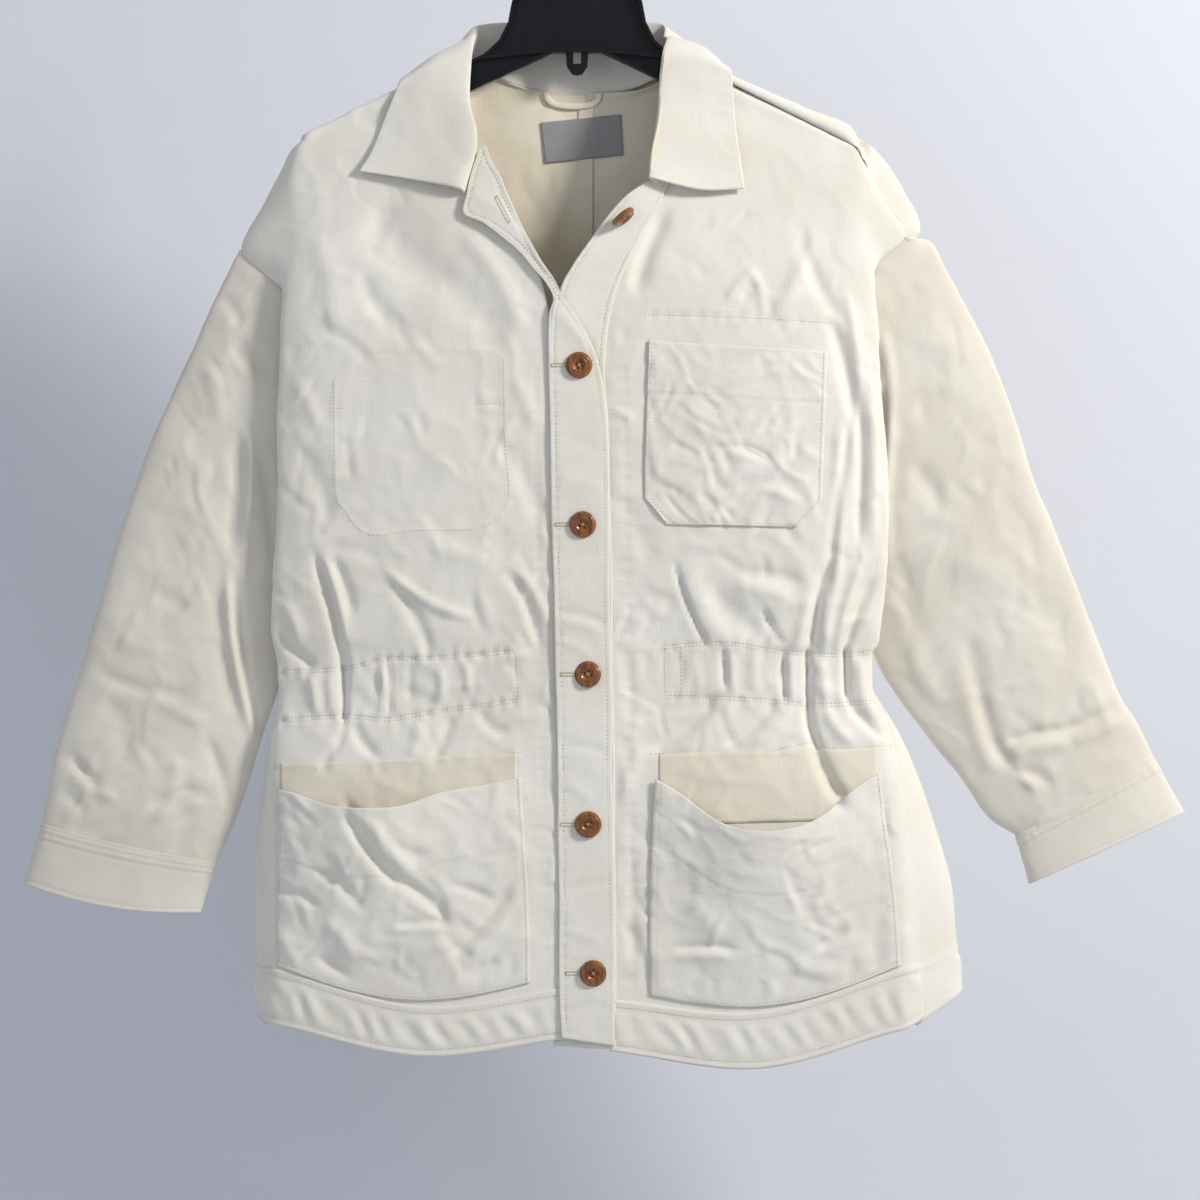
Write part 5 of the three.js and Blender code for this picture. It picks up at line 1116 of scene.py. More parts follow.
for name, rows, shift, node, sleeveNode in (
        ("rightCuffCloth", rightCuffRows, 21, "right_cuff", "right_sleeve"),
        ("leftCuffCloth", leftCuffRows, 24, "left_cuff", "left_sleeve")):
    grid, _ = rise([ringOf(row) for row in rows], cuff["spacing"])
    centre = grid.mean(1, keepdims=True)
    grid = centre + (grid - centre) * np.array(cuff["wider"])
    full = raised(grid, awayFrom(grid), cuffRelief(grid, shift), True)
    # the cuff's twill is the darker copy of the cream, painted shade
    panels[node] = clothPiece(name, full, cloth["band"], awayFrom(grid), shadedSleeveTwill, insideTwill, True)
    sew(panels[node], node)
print("sleeves and cuffs made")

# collar
collarColumns = [part + axis for part in ("seam", "roll", "mid", "edge") for axis in "XZY"]
collarRows = table(collarColumns, [
    [-87, -253, -29.5, -89, -251, -33, -127, -243, -28, -168, -236, -23],
    [-80, -221, -24.5, -77, -211, -28, -117, -216, -24, -159, -221, -19],
    [-85, -190, -19, -83, -181, -22, -113, -184, -19.5, -147, -191, -15],
    [-86, -166, -13.5, -82, -155, -14, -109, -158, -14, -140, -174, -12.5],
    [-86, -152, -10.5, -81, -143, -9, -107, -149, -11, -136, -165, -11],
    [-85, -147, 0, -80, -134, 0, -105, -142, 0, -132, -161, 0],
    [-82, -147.5, 9.5, -79, -128, 9, -103, -143, 11, -128, -163, 12],
    [-76, -150.5, 14, -78, -122, 14, -100, -146, 18, -122, -174, 18.5],
    [-59, -158.5, 17, -69, -119, 22, -73, -150, 29, -82, -184, 29],
    [-28, -169, 23.5, -32, -117, 27, -33, -148, 33, -36, -190, 33],
    [0, -170, 23.5, 0, -116.5, 28.5, 0, -147, 34.5, 0, -192, 34],
    [33, -168, 23, 38, -117, 27, 38, -148, 33, 40, -190, 33],
    [58, -159.5, 18, 65, -118.5, 22, 74, -149, 29, 84, -184, 30],
    [76, -151, 14, 68, -123, 14, 90, -138, 18, 121, -174, 19],
    [84, -147, 9.5, 67, -130, 8, 93, -138, 12, 119, -159, 12.5],
    [87, -146, 0, 69, -132, 0, 95, -137, 0, 117, -155, 0],
    [86, -150, -10.8, 66, -144, -13, 95, -146, -12, 119, -158, -12.8],
    [83, -164, -14, 64, -160, -14.5, 95, -158, -15.5, 120, -170, -16],
    [75, -200, -22, 62, -192, -25, 92, -192, -22, 122, -200, -19],
    [68, -227, -29, 56, -227, -32, 91, -227, -28, 126, -227, -24],
    [58, -244, -34, 55, -242, -37, 95, -251, -32, 129, -250, -27],
])
collar = {"steps": [14, 9, 20], "spacing": 1.9, "edge": 2.6, "tuck": 4, "standColumns": 14, "pitch": 8}


def collarRow(row):
    seam, roll, mid, edge = (vec(row[part + "X"], row[part + "Y"], row[part + "Z"])
                             for part in ("seam", "roll", "mid", "edge"))
    seam = seam + unit(seam - roll) * collar["tuck"]
    return line([2 * seam - roll, seam, roll, mid, edge, 2 * edge - mid], collar["steps"])


collarGrid, _ = rise([collarRow(row) for row in collarRows], collar["spacing"])
fromEdge, fromStart, fromEnd = (np.linalg.norm(collarGrid - part, axis=-1)
                                for part in (collarGrid[:, -1:], collarGrid[:1], collarGrid[-1:]))
# the stand, which has no free tips, comes before the roll
inFall = np.arange(collarGrid.shape[1])[None, :] > collar["standColumns"]
rim = np.minimum(fromEdge, np.where(inFall, np.minimum(fromStart, fromEnd), 99))
collarS = runOf(collarGrid[:, -1])[:, None] + 0 * rim
collarRelief = (-0.4 * bell(rim, collar["edge"], 1.0) + 0.25 * bell(rim, collar["edge"], 2.0)
                + 0.12 * beat(collarS, 4, 25, collar["pitch"], 2) * bell(rim, 4, 4)
                + 0.55 * crumple(collarS, fromEdge, 31) * smooth(rim / 6))
neckCentre = vec(0, 0, -210)
collarFull = raised(collarGrid, collarGrid - neckCentre, collarRelief)
panels["collar"] = clothPiece("collarCloth", collarFull, cloth["collar"], collarGrid - neckCentre,
                              bodyTwill, insideTwill)
sew(panels["collar"], "collar")

# plackets
stripColumns = ["leftX", "leftZ", "leftY", "rightX", "rightZ", "rightY"]
rightPlacketRows = table(stripColumns, [
    [-12, -902, -39.5, 29, -908, -39.5],
    [-14, -862, -39.5, 29, -868, -39.5],
    [-14, -797, -39.5, 29, -797, -39.5],
    [-15, -743, -39.5, 28, -743, -39.5],
    [-15, -701, -39.5, 27, -701, -39.5],
    [-16, -649, -38.5, 27, -649, -38.5],
    [-17, -612, -38, 26, -612, -38],
    [-18, -558, -38.5, 25, -558, -38.5],
    [-20, -500, -39, 25, -500, -39],
    [-21, -431, -39.5, 24, -440, -39],
    [-22, -395, -40.4, 19, -395, -39.5],
    [-22, -378, -40.6, 13, -374, -40],
    [-22, -361, -40.8, 3, -354, -40.4],
    [-21, -345, -41, -6, -340, -41],
    [-18, -335, -41.2, -12, -331, -41.2],
    [-23, -324, -41, -18, -319, -41],
    [-34, -311, -40.4, -27, -306, -40.6],
    [-44, -299, -39.4, -35, -292, -39.6],
    [-57, -288, -38, -42, -279, -37.5],
    [-73, -276, -35.5, -48, -266, -35],
    [-87.5, -269, -32.5, -54, -253, -32],
    [-85.5, -256, -30.5, -59, -240, -30],
    [-80, -233, -27.5, -66, -228, -27.5],
    [-74.5, -218, -26.5, -70, -216, -26.5],
])
leftPlacketRows = table(stripColumns, [
    [-18, -908, -33, 30.1, -911, -34],
    [-18, -866, -33, 30.1, -871, -34],
    [-18, -797, -33, 30.1, -800, -34],
    [-18, -743, -33, 29.1, -746, -34],
    [-18, -701, -33, 29.1, -702, -34],
    [-18, -649, -32, 28.1, -648, -33],
    [-18, -610, -32, 27.1, -610, -33],
    [-18, -558, -32, 27.1, -558, -33],
    [-18, -474, -33, 25.1, -474, -33],
    [-18, -431, -34, 24.1, -431, -33],
    [-17, -390, -35, 21.1, -390, -33],
    [-15, -352, -36, 25, -349, -34],
    [-13, -328, -36.5, 32, -323, -33.5],
    [-5, -312, -36.5, 41, -303, -32.5],
    [8, -293, -36.5, 51, -283, -30.1],
    [25, -270, -35.5, 63, -263, -28.5],
    [40, -254, -34, 69, -249, -26.5],
    [54, -245, -31, 73, -238, -24.4],
])
placket = {"across": 30, "spacing": 1.9, "inset": (5.0, 3.6), "rowWide": 0.9, "pitch": 8}


def stripGrid(rows):
    t = np.linspace(0, 1, placket["across"])[:, None]
    ends = [[vec(r[side + "X"], r[side + "Y"], r[side + "Z"]) for side in ("left", "right")] for r in rows]
    return rise([a + (b - a) * t for a, b in ends], placket["spacing"])[0]


buttonPlaces = [(1.5, -386), (4.4, -508), (8.5, -623), (8.5, -738), (12.3, -852)]
placketCreases = table(creaseColumns, [
    [556, 612, 604, 622, 2, 3.6, -0.9], [560, 622, 600, 632, 2, 4.0, 0.7],
    [556, 640, 590, 655, 2, 4.0, 0.6], [562, 440, 596, 448, 1, 5.0, -0.5],
    [560, 560, 600, 552, 1, 5.0, -0.5], [562, 745, 606, 752, 2, 4.0, -0.7],
    [560, 780, 590, 800, 2, 5.0, 0.6], [562, 890, 606, 880, 1, 4.0, -0.7],
    [566, 930, 600, 940, 1, 4.0, 0.6], [560, 1010, 606, 1004, 1, 4.0, -0.5],
    [560, 480, 600, 490, 1, 6.0, 0.5], [480, 200, 520, 236, 3, 6.0, 0.6],
    [500, 180, 530, 232, -2, 5.0, -0.7], [540, 300, 590, 352, 3, 5.0, 0.6],
])


def stripRelief(grid, shift, creaseRows):
    x, z = grid[..., 0], grid[..., 2]
    left = np.linalg.norm(grid - grid[:, :1], axis=-1)
    right = np.linalg.norm(grid - grid[:, -1:], axis=-1)
    s = runOf(grid[:, 0])[:, None] + 0 * left
    inside = smooth(np.minimum(left, right) / 4)
    rows = (-0.35 * bell(left, placket["inset"][0], placket["rowWide"])
            - 0.25 * bell(right, placket["inset"][1], placket["rowWide"]))
    puckers = 0.16 * beat(s, 4, 25, placket["pitch"], shift) * bell(left, 5, 4)
    return inside * (0.5 * crumple(x, z, shift) + creases(creaseRows, x, z)) + rows + puckers


rightStrip, leftStrip = stripGrid(rightPlacketRows), lifted(stripGrid(leftPlacketRows))
for name, grid, shift, creaseRows, node, on in (
        ("placketRightCloth", rightStrip, 41, placketCreases, "placket_right", "rightFrontCloth"),
        ("placketLeftCloth", leftStrip, 44, [], "placket_left", "leftFrontCloth")):
    full = raised(grid, towardsFront, stripRelief(grid, shift, creaseRows))
    panels[node] = clothPiece(name, full, cloth["band"], towardsFront, bodyTwill, insideTwill)
    sew(panels[node], node)
print("collar and plackets made")


# what lies on a panel is dropped onto its surface
def treeOf(*pieces):
    points, faces = [], []
    for piece in pieces:
        offset = len(points)
        co = np.zeros(len(piece.data.vertices) * 3, np.float32)
        piece.data.vertices.foreach_get("co", co)
        points += (co.reshape(-1, 3) * 1000).tolist()
        loops = np.zeros(len(piece.data.loops), np.int32)
        piece.data.loops.foreach_get("vertex_index", loops)
        sides = len(loops) // len(piece.data.polygons)
        faces += (loops.reshape(-1, sides) + offset).tolist()
    return BVHTree.FromPolygons(points, faces)


# where a ray to the front of the cloth starts, and where the nearest cloth is looked for if it misses
eye = {"far": -200, "near": -40}


def drop(tree, x, z):
    # the nearest cloth at a place seen from the front: its point and its normal
    hit, normal, _, _ = tree.ray_cast(Vector((x, eye["far"], z)), Vector((0, 1, 0)))
    if hit is None:
        hit, normal, _, _ = tree.find_nearest(Vector((x, eye["near"], z)))
    if normal.y > 0:
        normal = -normal
    return np.array(hit), np.array(normal)


def dropOn(tree, plan, off):
    # lays a plan on the cloth, this far behind its face
    for points in plan:
        for point in points:
            point[1] = drop(tree, point[0], point[2])[0][1] + off


patchColumns = ["leftX", "leftZ", "rightX", "rightZ", "sag"]
leftChestRows = table(patchColumns, [
    [69, -508, 168, -510, 0],
    [60, -497, 179, -499, 0],
    [52, -487, 188, -490, 0],
    [52, -460, 189, -462, 0],
    [53, -430, 190, -434, 0],
    [54, -398, 191, -404, 0],
    [55, -367, 192, -375, 0],
])
rightChestRows = table(patchColumns, [
    [-163, -514, -70, -508, 0],
    [-174, -501, -62, -498, 0],
    [-184, -490, -55, -487, 0],
    [-185, -450, -56, -450, 0],
    [-186, -416, -57, -412, 0],
    [-169, -375, -56, -375, 0],
])
rightLowerRows = table(patchColumns, [
    [-231, -846, -36, -859, 20],
    [-231, -822, -36, -832, 16],
    [-231, -790, -37, -798, 11],
    [-230, -760, -39, -762, 9],
    [-230, -735, -41, -732, 9],
    [-231, -711, -43, -702, 9],
])
leftLowerRows = table(patchColumns, [
    [56, -869, 248, -846, 19],
    [56, -835, 247, -822, 17],
    [56, -800, 245, -796, 13],
    [57, -768, 241, -762, 16],
    [58, -737, 236, -730, 22],
    [60, -703, 233, -698, 26],
])
patch = {"across": 78, "spacing": 1.8, "gap": 0.35, "rowAt": 2.6, "rowWide": 0.9, "small": 45}
gape = {"right": {"x": -163, "width": 46, "depth": 13, "fade": 1.3, "dip": 9},
        "left": {"x": 146, "width": 58, "depth": 15, "fade": 1.3, "dip": 16}}
# the strip behind a mouth: from this far below its top row to this far above it
lining = {"below": 36, "above": 19, "off": 0.25, "thick": 0.25, "rows": 20}


def patchPlan(rows):
    t = np.linspace(0, 1, patch["across"])[:, None]
    plan = []
    for row in rows:
        a, b = vec(row["leftX"], 0, row["leftZ"]), vec(row["rightX"], 0, row["rightZ"])
        points = a + (b - a) * t
        points[:, 2] -= row["sag"] * np.sin(math.pi * t[:, 0])
        plan.append(points)
    # the cut corners of a pocket stay straight, so its rows are joined by straight lines
    fine = []
    for low, high in zip(plan, plan[1:]):
        steps = max(1, round(float(np.linalg.norm(high - low, axis=1).mean()) / patch["spacing"]))
        fine += [low + (high - low) * k / steps for k in range(steps)]
    return np.array(fine + [plan[-1]])


def patchOn(tree, rows, off, gapes=None):
    plan = patchPlan(rows)
    up = np.linspace(0, 1, len(plan))
    dropOn(tree, plan, -off)
    if gapes:
        # the mouth stands off the front and sags where it gapes
        across = (plan[..., 0] - gapes["x"]) / gapes["width"]
        for i, points in enumerate(plan):
            for point, a in zip(points, across[i]):
                point[1] -= gapes["depth"] * math.exp(-a * a) * up[i] ** gapes["fade"]
                point[2] -= gapes["dip"] * math.exp(-a ** 4) * up[i] ** 3
    return plan


def patchRelief(plan, shift, extra=(), band=None):
    # a sewn rim and, if the pocket has one, a band across its top
    x, z = plan[..., 0], plan[..., 2]
    left, right, low, high = (np.linalg.norm(plan - part, axis=-1)
                              for part in (plan[:, :1], plan[:, -1:], plan[:1], plan[-1:]))
    rim = np.minimum(np.minimum(left, right), low)
    relief = -0.6 * bell(rim, patch["rowAt"], patch["rowWide"]) + 0.25 * bell(rim, 0.9, 1.0)
    puckers = np.sin(2 * math.pi * (x + z + 4 * wobble(x, z, 22, shift)) / 8)
    relief = relief + 0.12 * puckers * bell(rim, 3, 4)
    if band:
        relief = relief - 0.45 * bell(high, band, patch["rowWide"]) + 0.3 * smooth((band - high) / 1.5)
    calm = 0.6 if band else 1.0
    return relief + smooth(np.minimum(rim, high) / 6) * (
        calm * 1.3 * crumple(x, z, shift) + 1.4 * creases(extra, x, z)
        + smallCreases(x, z, spread(x, z), patch["small"], 300 + shift))


frontTree = treeOf(panels["right_front"], panels["left_front"])
patchOff = cloth["panel"] + patch["gap"]
pocketGrids = []
for name, node, on, rows, gapes, extra, band, shift in (
        ("chestPocketLeft", "chest_pocket_left", "leftFrontCloth", leftChestRows, None, inPocketCreases, 40,
         51),
        ("lowerPocketRight", "lower_pocket_right", "rightFrontCloth", rightLowerRows, gape["right"], (), 54,
         52),
        ("lowerPocketLeft", "lower_pocket_left", "leftFrontCloth", leftLowerRows, gape["left"], (), 50,
         53)):
    plan = patchOn(frontTree, rows, patchOff, gapes)
    full = raised(plan, towardsFront, patchRelief(plan, shift, extra, band))
    pocketGrids.append(full)
    panels[node] = clothPiece(name, full, cloth["panel"], towardsFront, bodyTwill, insideTwill)
    sew(panels[node], node)
inner = patchPlan(rightChestRows)
dropOn(frontTree, inner, patchOff)
piece = clothPiece("chestPocketRight", inner, cloth["panel"], towardsFront, insideTwill)
sew(piece, "chest_pocket_right")
for name, rows, on in (("pocketInsideRight", rightLowerRows, "rightFrontCloth"),
                       ("pocketInsideLeft", leftLowerRows, "leftFrontCloth")):
    # the lining of a mouth: a thin strip on the front, from below the mouth up to the sewn line above it
    mouth = patchPlan(rows[-2:])[-1]
    inset = mouth[0] + (mouth[-1] - mouth[0]) * np.linspace(0.015, 0.985, len(mouth))[:, None]
    rises = np.linspace(-lining["below"], lining["above"], lining["rows"])
    plan = np.array([inset + vec(0, 0, k) for k in rises])
    dropOn(frontTree, plan, -lining["off"])
    piece = clothPiece(name, plan, lining["thick"], towardsFront, liningTwill)
    sew(piece, None)
print("pockets made")

# neck label, hang loop and the felled strip down the inside of the back
labelRows = table(patchColumns, [
    [-24.6, -227.2, 35.4, -221, 0],
    [-26.3, -211.4, 34.6, -205.4, 0],
    [-28, -195.6, 33.9, -189.4, 0],
])
backTree = treeOf(panels["back_right"], panels["back_left"])


# depths inside the back: where a ray starts, what stands for a miss, and how far off it each piece lies
depth = {"from": -12, "missed": 24.0, "label": 1.5, "fell": 1.1, "loop": 2.4}


def insideBack(x, z):
    hit, _, _, _ = backTree.ray_cast(Vector((x, depth["from"], z)), Vector((0, 1, 0)))
    return hit[1] if hit is not None else depth["missed"]


label = patchPlan(labelRows)
for points in label:
    for point in points:
        point[1] = insideBack(point[0], point[2]) - depth["label"]
labelPiece = clothPiece("neckLabelTape", label, 0.8, towardsFront, labelTape)
sew(labelPiece, "neck_label")

fell = {"left": 6, "width": 11.5, "top": -178, "low": -840, "thick": 0.9, "step": 2.2, "columns": 9}
fellX = [centreBackX - fell["left"] + k for k in np.linspace(0, fell["width"], fell["columns"])]
strip = np.array([[vec(x, insideBack(x, z) - depth["fell"], z) for x in fellX]
                  for z in np.arange(fell["low"], fell["top"], fell["step"])])
fellRelief = (-0.25 * bell(np.linspace(0, 1, fell["columns"])[None, :], 0.15, 0.08) + 0 * strip[..., 0]
              + 0.15 * np.sin(2 * math.pi * strip[..., 2] / 7.5))
fellPiece = clothPiece("centreBackFell", raised(strip, towardsFront, fellRelief), fell["thick"],
                       towardsFront, insideTwill)
sew(fellPiece)

loop = {"half": 2.5, "columns": 7, "round": 0.5, "thick": 1.3, "steps": 6}
loopPath = [(-24, -172.5), (-23, -177), (-18, -181), (-3, -183), (12, -181), (16, -177), (17, -172.5)]
loopControls = [np.array(p, float) for p in [(-24, -168), *loopPath, (17, -168)]]
loopLine = line(loopControls, [loop["steps"]] * (len(loopPath) - 1))
loopNormal = unit(np.stack([-np.gradient(loopLine[:, 1]), np.gradient(loopLine[:, 0])], -1))


def loopPoint(p, n, w):
    # a place across the loop, whose middle stands out a little
    x, z = p + n * w
    return vec(x, insideBack(*p) - depth["loop"] - loop["round"] * (1 - (w / loop["half"]) ** 2), z)


loopAcross = np.linspace(-loop["half"], loop["half"], loop["columns"])
loopGrid = np.array([[loopPoint(p, n, w) for w in loopAcross] for p, n in zip(loopLine, loopNormal)])
loopPiece = clothPiece("hangLoopCloth", loopGrid, loop["thick"], towardsFront, insideTwill)
carry(loopPiece, "twill", "hang_loop")
print("label, loop and felled strip made")

# stitches
stitch = {"long": 2.1, "pitch": 3.0, "radius": 0.24, "off": 0.12, "under": 0.15}


def stitchMesh(name, runs):
    # rows of stitches as small closed grains on the cloth: each run has its two ends and a normal
    points, faces = [], []
    for a, b, n in runs:
        along = unit(b - a)
        side = unit(np.cross(along, n))
        base = len(points)
        points.append(a - n * stitch["under"])
        for share in (0.25, 0.75):
            centre = a + (b - a) * share + n * stitch["off"]
            for w, h in ((1, 0), (0, 1), (-1, 0), (0, -1)):
                points.append(centre + side * w * stitch["radius"] + n * h * stitch["radius"])
        points.append(b - n * stitch["under"])
        for k in range(4):
            m = (k + 1) % 4
            faces += [[base, base + 1 + m, base + 1 + k, base],
                      [base + 1 + k, base + 1 + m, base + 5 + m, base + 5 + k],
                      [base + 9, base + 5 + k, base + 5 + m, base + 9]]
    mesh = bpy.data.meshes.new(name)
    mesh.from_pydata([tuple(p / 1000) for p in points], [], [f if f[0] != f[3] else f[:3] for f in faces])
    mesh.polygons.foreach_set("use_smooth", np.ones(len(mesh.polygons), bool))
    mesh.materials.append(thread)
    piece = bpy.data.objects.new(name, mesh)
    bpy.context.scene.collection.objects.link(piece)
    carry(piece, "twill")
    print(f"  {name}: {len(runs)} stitches")
    return piece


def evenly(path, pitch):
    run = runOf(path)
    spots = np.arange(0, run[-1] - stitch["long"], pitch)
    return [np.stack([np.interp(s, run, path[:, k]) for k in range(path.shape[1])], -1)
            for s in (spots, spots + stitch["long"])]


def stitchBetween(tree, start, end):
    a, n = drop(tree, *start)
    b, _ = drop(tree, *end)
    return a, b, n


def stitchOn(tree, path, shift):
    # stitches along a line of x and z, shifted to one side, dropped onto the cloth
    way = np.gradient(path, axis=0)
    side = unit(np.stack([-way[:, 1], way[:, 0]], -1))
    starts, ends = evenly(path + side * shift, stitch["pitch"])
    runs = [stitchBetween(tree, s, e) for s, e in zip(starts, ends)]
    return [(a, b, n) for a, b, n in runs if np.linalg.norm(b - a) < 2 * stitch["long"]]


def gridLine(grid, inset, edge):
    # a line along a grid, at a set distance in from one of its edges
    if edge in ("left", "right"):
        lines = grid if edge == "left" else grid[:, ::-1]
    else:
        lines = grid.transpose(1, 0, 2) if edge == "low" else grid[::-1].transpose(1, 0, 2)
    path = []
    for cross in lines:
        run = runOf(cross)
        if run[-1] > inset:
            path.append([np.interp(inset, run, cross[:, k]) for k in range(3)])
    return np.array(path)


def stitchGrid(grid, inset, edge):
    starts, ends = evenly(gridLine(grid, inset, edge), stitch["pitch"])
    return [(a, b, towardsFront) for a, b in zip(starts, ends)]


frontTree = treeOf(*(panels[node] for node in (
    "right_front", "left_front", "hem_band_right_front", "hem_band_left_front",
    "placket_right", "placket_left", "chest_pocket_left", "lower_pocket_right", "lower_pocket_left",
    "back_right", "back_left")))
runs = []
for seam in rightSeams + leftSeams:
    path = follow(seam["line"])
    for shift in seam["rows"]:
        runs += stitchOn(frontTree, path, shift)
    # a strong seam has a second row below its first
    if len(seam["rows"]) == 1 and seam["pucker"] >= 0.5:
        runs += stitchOn(frontTree, path, -1.2)
stitchMesh("stitchesFronts", runs)

runs = []
for grid in (rightStrip, leftStrip):
    for edge, inset, sunk in (("left", placket["inset"][0], -0.25), ("right", placket["inset"][1], -0.15)):
        runs += stitchGrid(raised(grid, towardsFront, np.full(grid.shape[:2], sunk)), inset, edge)
stitchMesh("stitchesPlackets", runs)

runs = []
for full in pocketGrids:
    for edge in ("left", "right", "low"):
        runs += stitchGrid(full, patch["rowAt"], edge)
for band in (rightBand, leftBand):
    for edge, inset in (("low", 6.0), ("top", 5.5)):
        runs += stitchGrid(band, inset, edge)
stitchMesh("stitchesEdges", runs)
print("stitches made")

# buttonholes: two rows of close thread round a slit, and one bar at each end
hole = {"half": 10.5, "lapelHalf": 10, "lapelSlope": -1.1, "toSide": 9.5, "pitch": 0.75, "slit": 0.25,
        "wide": 1.75, "bar": 2.1, "barAt": 0.9, "barPitch": 0.5}


def buttonhole(tree, x, z, half, slope=0.0):
    runs = []
    along = np.array([math.cos(slope), math.sin(slope)])
    up = np.array([-math.sin(slope), math.cos(slope)])
    for k in np.arange(-half, half + 0.01, hole["pitch"]):
        for side in (-1, 1):
            near = np.array([x, z]) + along * k + up * side * hole["slit"]
            runs.append(stitchBetween(tree, near, near + up * side * hole["wide"]))
    for end in (-1, 1):
        for k in (-hole["barPitch"], 0, hole["barPitch"]):
            spot = np.array([x, z]) + along * (half + hole["barAt"] + k) * end
            runs.append(stitchBetween(tree, spot - up * hole["bar"], spot + up * hole["bar"]))
    return runs


topTree = treeOf(panels["placket_right"])
runs = []
for x, z in buttonPlaces:
    runs += buttonhole(topTree, x - hole["toSide"], z, hole["half"])
runs += buttonhole(topTree, *at(503, 211), hole["lapelHalf"], hole["lapelSlope"])
stitchMesh("buttonholes", runs)

# buttons: a dished disc with a rounded rim, four holes, and thread across them
button = {"radius": 10.2, "thick": 3.9, "dish": 1.3, "holes": 2.3, "bore": 0.85, "boreDeep": 2.0,
          "rings": 34, "sides": 72, "off": 0.35}


def buttonPiece(name, node, centre, axis, turn):
    axis = unit(axis)
    across = unit(np.cross(axis, vec(0, 0, 1)))
    up = np.cross(across, axis)
    shares = [np.linspace(0.05, 0.93, button["rings"]), [0.97, 0.995, 1, 0.985, 0.9, 0.5, 0.05]]
    radii = np.concatenate(shares) * button["radius"]
    front = np.arange(len(radii)) < button["rings"] + 2
    share = radii / button["radius"]
    domed = 1 - 0.16 * share ** 2 - 0.5 * smooth((share - 0.78) / 0.22)
    dome = button["thick"] * np.where(front, domed, 0.0)
    dome[button["rings"] + 2] = button["thick"] * 0.3
    well = button["dish"] * (1 - smooth((radii - 3.2) / 2.2)) * front
    groove = 0.35 * bell(radii, 6.6, 0.9) * front
    angles = 2 * math.pi * np.arange(button["sides"]) / button["sides"] + turn
    r, t = np.meshgrid(radii, angles, indexing="ij")
    height = (dome - well - groove)[:, None] + 0 * r
    for k in range(4):
        hx, hy = (button["holes"] * f(k * math.pi / 2 + turn) for f in (np.cos, np.sin))
        d = np.hypot(r * np.cos(t) - hx, r * np.sin(t) - hy)
        bored = button["boreDeep"] * smooth((button["bore"] + 0.25 - d) / 0.5)
        height -= np.where(front[:, None], bored, 0)
    points = (centre + across * (r * np.cos(t))[..., None] + up * (r * np.sin(t))[..., None]
              + axis * height[..., None])
    rows, sides = r.shape
    i, j = np.meshgrid(np.arange(rows - 1), np.arange(sides), indexing="ij")
    k = (j + 1) % sides
    corners = [i * sides + j, (i + 1) * sides + j, (i + 1) * sides + k, i * sides + k]
    piece = newMesh(name, points.reshape(-1, 3), np.stack(corners, -1).reshape(-1, 4))
    # the ends of the lathe are closed with a cap each
    cap = np.arange(sides)
    mesh = piece.data
    faces = [list(f.vertices) for f in mesh.polygons]
    faces += [cap[::-1].tolist(), (cap + (rows - 1) * sides).tolist()]
    capped = bpy.data.meshes.new(name + "Closed")
    capped.from_pydata([tuple(v.co) for v in mesh.vertices], [], faces)
    capped.polygons.foreach_set("use_smooth", np.ones(len(capped.polygons), bool))
    capped.materials.append(horn)
    piece.data = capped
    carry(piece, "horn", node)
    floor = centre + axis * (button["thick"] - button["dish"] + 0.1)
    reaches = [(across * math.cos(a) + up * math.sin(a)) * button["holes"]
               for a in (turn, turn + math.pi / 2)]
    return [(floor + reach, floor - reach, axis) for reach in reaches]


tilts = [(0.05, 0.02), (-0.04, -0.03), (-0.16, 0.06), (0.03, 0.05), (0.06, -0.05)]
runs = []
for index, ((x, z), tilt) in enumerate(zip(buttonPlaces, tilts)):
    hit, n = drop(topTree, x, z)
    axis = n + vec(tilt[0], 0, tilt[1])
    runs += buttonPiece(f"hornButton{index + 1}", f"button_{index + 1}", hit + n * button["off"], axis,
                        0.4 + 0.7 * index)
# the neck button has fallen over on its thread, with the thread's shank showing
low, high = (Vector(corner) * 1000 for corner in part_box("button_neck"))
neckMiddle = (np.array(low) + np.array(high)) / 2
neckAxis = unit(vec(0.61, -0.26, -0.75))
neckFoot = neckMiddle - neckAxis * button["thick"] / 2
runs += buttonPiece("hornButtonNeck", "button_neck", neckFoot, neckAxis, 0.3)
shank = {"reach": 0.4, "turn": 1.6, "foot": (-3, 4), "neck": 1.5}
leftTree = treeOf(panels["placket_left"])
shankEnd, shankNormal = drop(leftTree, neckMiddle[0] + shank["foot"][0], neckMiddle[2] + shank["foot"][1])
for k in range(4):
    off = vec(shank["reach"] * math.cos(k * shank["turn"]), 0, shank["reach"] * math.sin(k * shank["turn"]))
    runs.append((shankEnd + off, neckMiddle - neckAxis * shank["neck"] + off, shankNormal))
stitchMesh("buttonThread", runs)

# the hanger keeps its own form, with its moulded edges softened
edge = {"width": 0.0006, "segments": 2, "angle": 35}
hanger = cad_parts["hanger"]
hanger.data.materials.clear()
hanger.data.materials.append(hangerPlastic)
soften = hanger.modifiers.new("softEdges", "BEVEL")
soften.width, soften.segments, soften.limit_method = edge["width"], edge["segments"], "ANGLE"
soften.angle_limit = math.radians(edge["angle"])
hanger.modifiers.new("even", "WEIGHTED_NORMAL")
print("buttons and hanger made")

# light: a bright soft source from the upper right, a weaker one from the left, one behind, and a pale room
def lamp(name, place, aim, size, power, colour):
    data = bpy.data.lights.new(name, "AREA")
    data.shape, data.size, data.size_y = "RECTANGLE", size[0], size[1]
    data.energy, data.color = power, linear(colour)[:3]
    lampObject = bpy.data.objects.new(name, data)
    lampObject.location = place
    lampObject.rotation_euler = (Vector(aim) - Vector(place)).to_track_quat("-Z", "Y").to_euler()
    bpy.context.scene.collection.objects.link(lampObject)


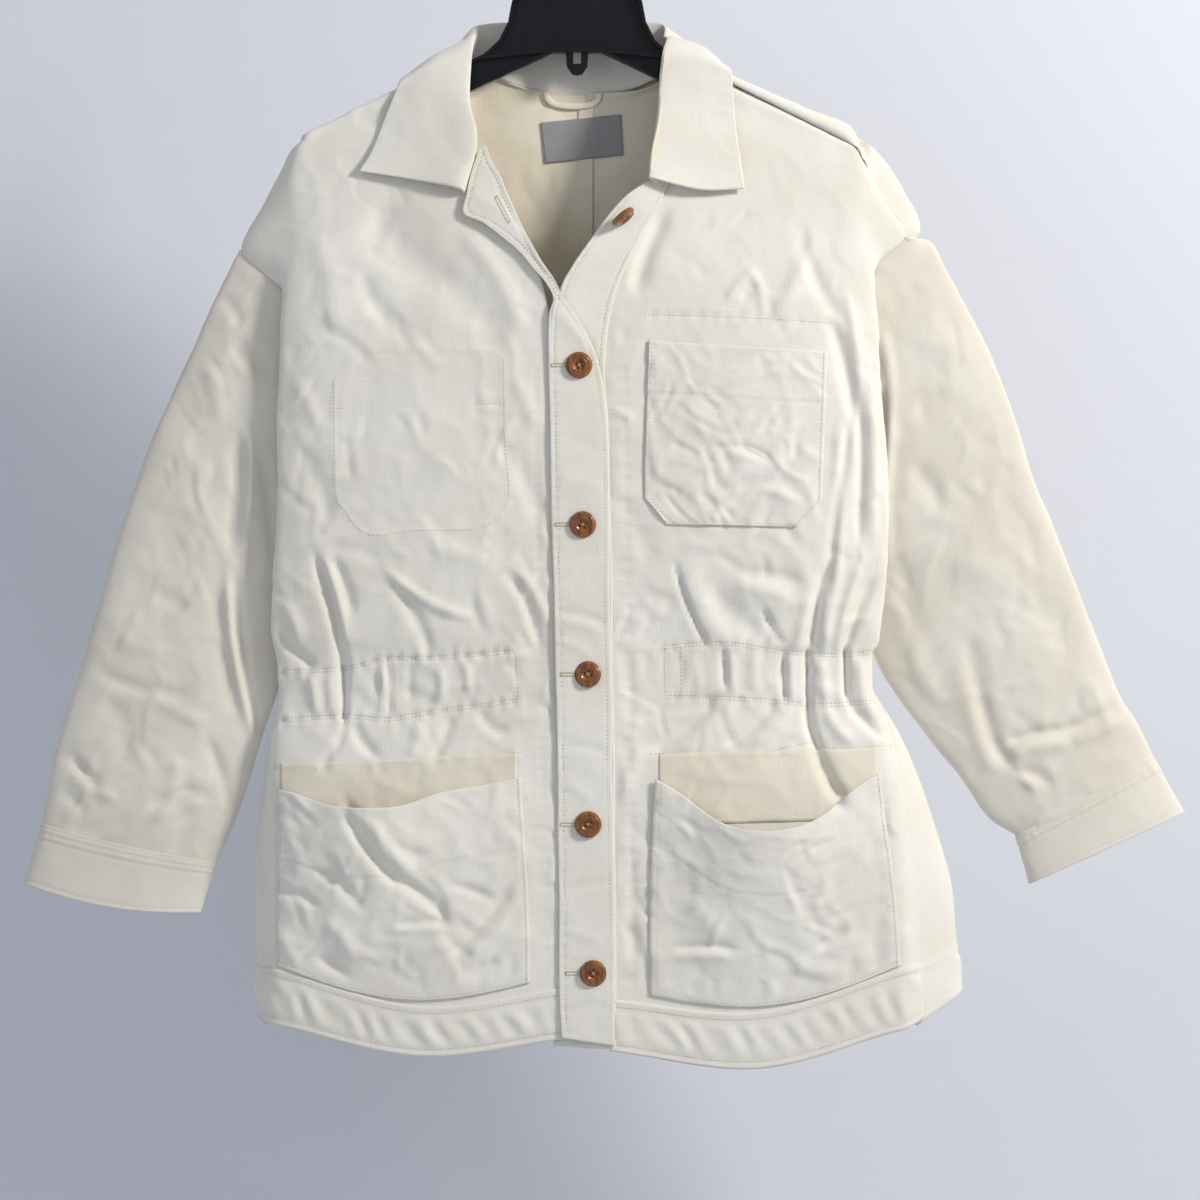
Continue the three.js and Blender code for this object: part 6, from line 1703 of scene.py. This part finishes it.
lamp("softboxRight", (1.9, -1.25, 0.75), (0.0, 0.0, -0.5), (0.45, 0.45), 58, "fffaf4")
lamp("softboxLeft", (-1.6, -1.9, -0.2), (0.0, 0.0, -0.55), (1.4, 1.6), 7, "eef2ff")
lamp("softboxBehind", (0.5, 2.2, 0.5), (0.0, 0.0, -0.5), (1.2, 1.0), 16, "f6f7ff")
world = bpy.data.worlds.new("paleRoom")
bpy.context.scene.world = world
world.use_nodes = True
room = world.node_tree
room.nodes.clear()
way = add(room, "ShaderNodeTexCoord").outputs["Generated"]
fade = share(room, add(room, "ShaderNodeSeparateXYZ", {0: way}).outputs["X"], -0.15, 0.12)
shade = blend(room, fade, linear("d6dae2"), linear("e8ebf1"))
ground = add(room, "ShaderNodeBackground", {"Color": shade, "Strength": 0.5})
add(room, "ShaderNodeOutputWorld", {"Surface": ground.outputs[0]})

studio = {"floorHalf": 6, "floorZ": -2.05, "wallHalf": 5, "wallY": 0.34, "wallTop": 3}


def plane(name, corners, material):
    mesh = bpy.data.meshes.new(name)
    mesh.from_pydata(corners, [], [(0, 1, 2, 3)])
    mesh.materials.append(material)
    made = bpy.data.objects.new(name, mesh)
    bpy.context.scene.collection.objects.link(made)
    return made


floorPaint, floorTree = newMaterial("paleFloorPaint")
finishWith(floorTree, principled(floorTree, linear("dfe3ea"), 0.9))
floor = plane("studioFloor", [(x * studio["floorHalf"], y * studio["floorHalf"], studio["floorZ"])
                              for x, y in ((-1, -1), (1, -1), (1, 1), (-1, 1))], floorPaint)

# the backdrop is painted on its front only, so that the jacket's back stays in sight from behind it
wallPaint, wallTree = newMaterial("paleWallPaint")
paint = principled(wallTree, linear("dde0e8"), 0.95)
clear = add(wallTree, "ShaderNodeBsdfTransparent")
behind = add(wallTree, "ShaderNodeNewGeometry").outputs["Backfacing"]
mixed = {0: behind, 1: paint.outputs[0], 2: clear.outputs[0]}
finishWith(wallTree, add(wallTree, "ShaderNodeMixShader", mixed))
low, high = studio["floorZ"], studio["wallTop"]
wall = plane("studioWall", [(x * studio["wallHalf"], studio["wallY"], z)
                            for x, z in ((-1, low), (1, low), (1, high), (-1, high))], wallPaint)

# the camera stands straight in front, level with the middle of the picture
view = {"distance": 5.0, "front": 0.015, "sensor": 36, "pixels": 1200}
wide = view["pixels"] * picturePoint / 1000
middle = at(view["pixels"] / 2, view["pixels"] / 2)
lens = bpy.data.cameras.new("productCamera")
lens.sensor_width, lens.lens = view["sensor"], view["sensor"] * view["distance"] / wide
camera = bpy.data.objects.new("productCamera", lens)
camera.location = (middle[0] / 1000, -view["distance"] - view["front"], middle[1] / 1000)
camera.rotation_euler = (math.pi / 2, 0, 0)
bpy.context.scene.collection.objects.link(camera)
bpy.context.scene.camera = camera
bpy.context.scene.view_settings.view_transform = "Standard"
print("light and camera set")
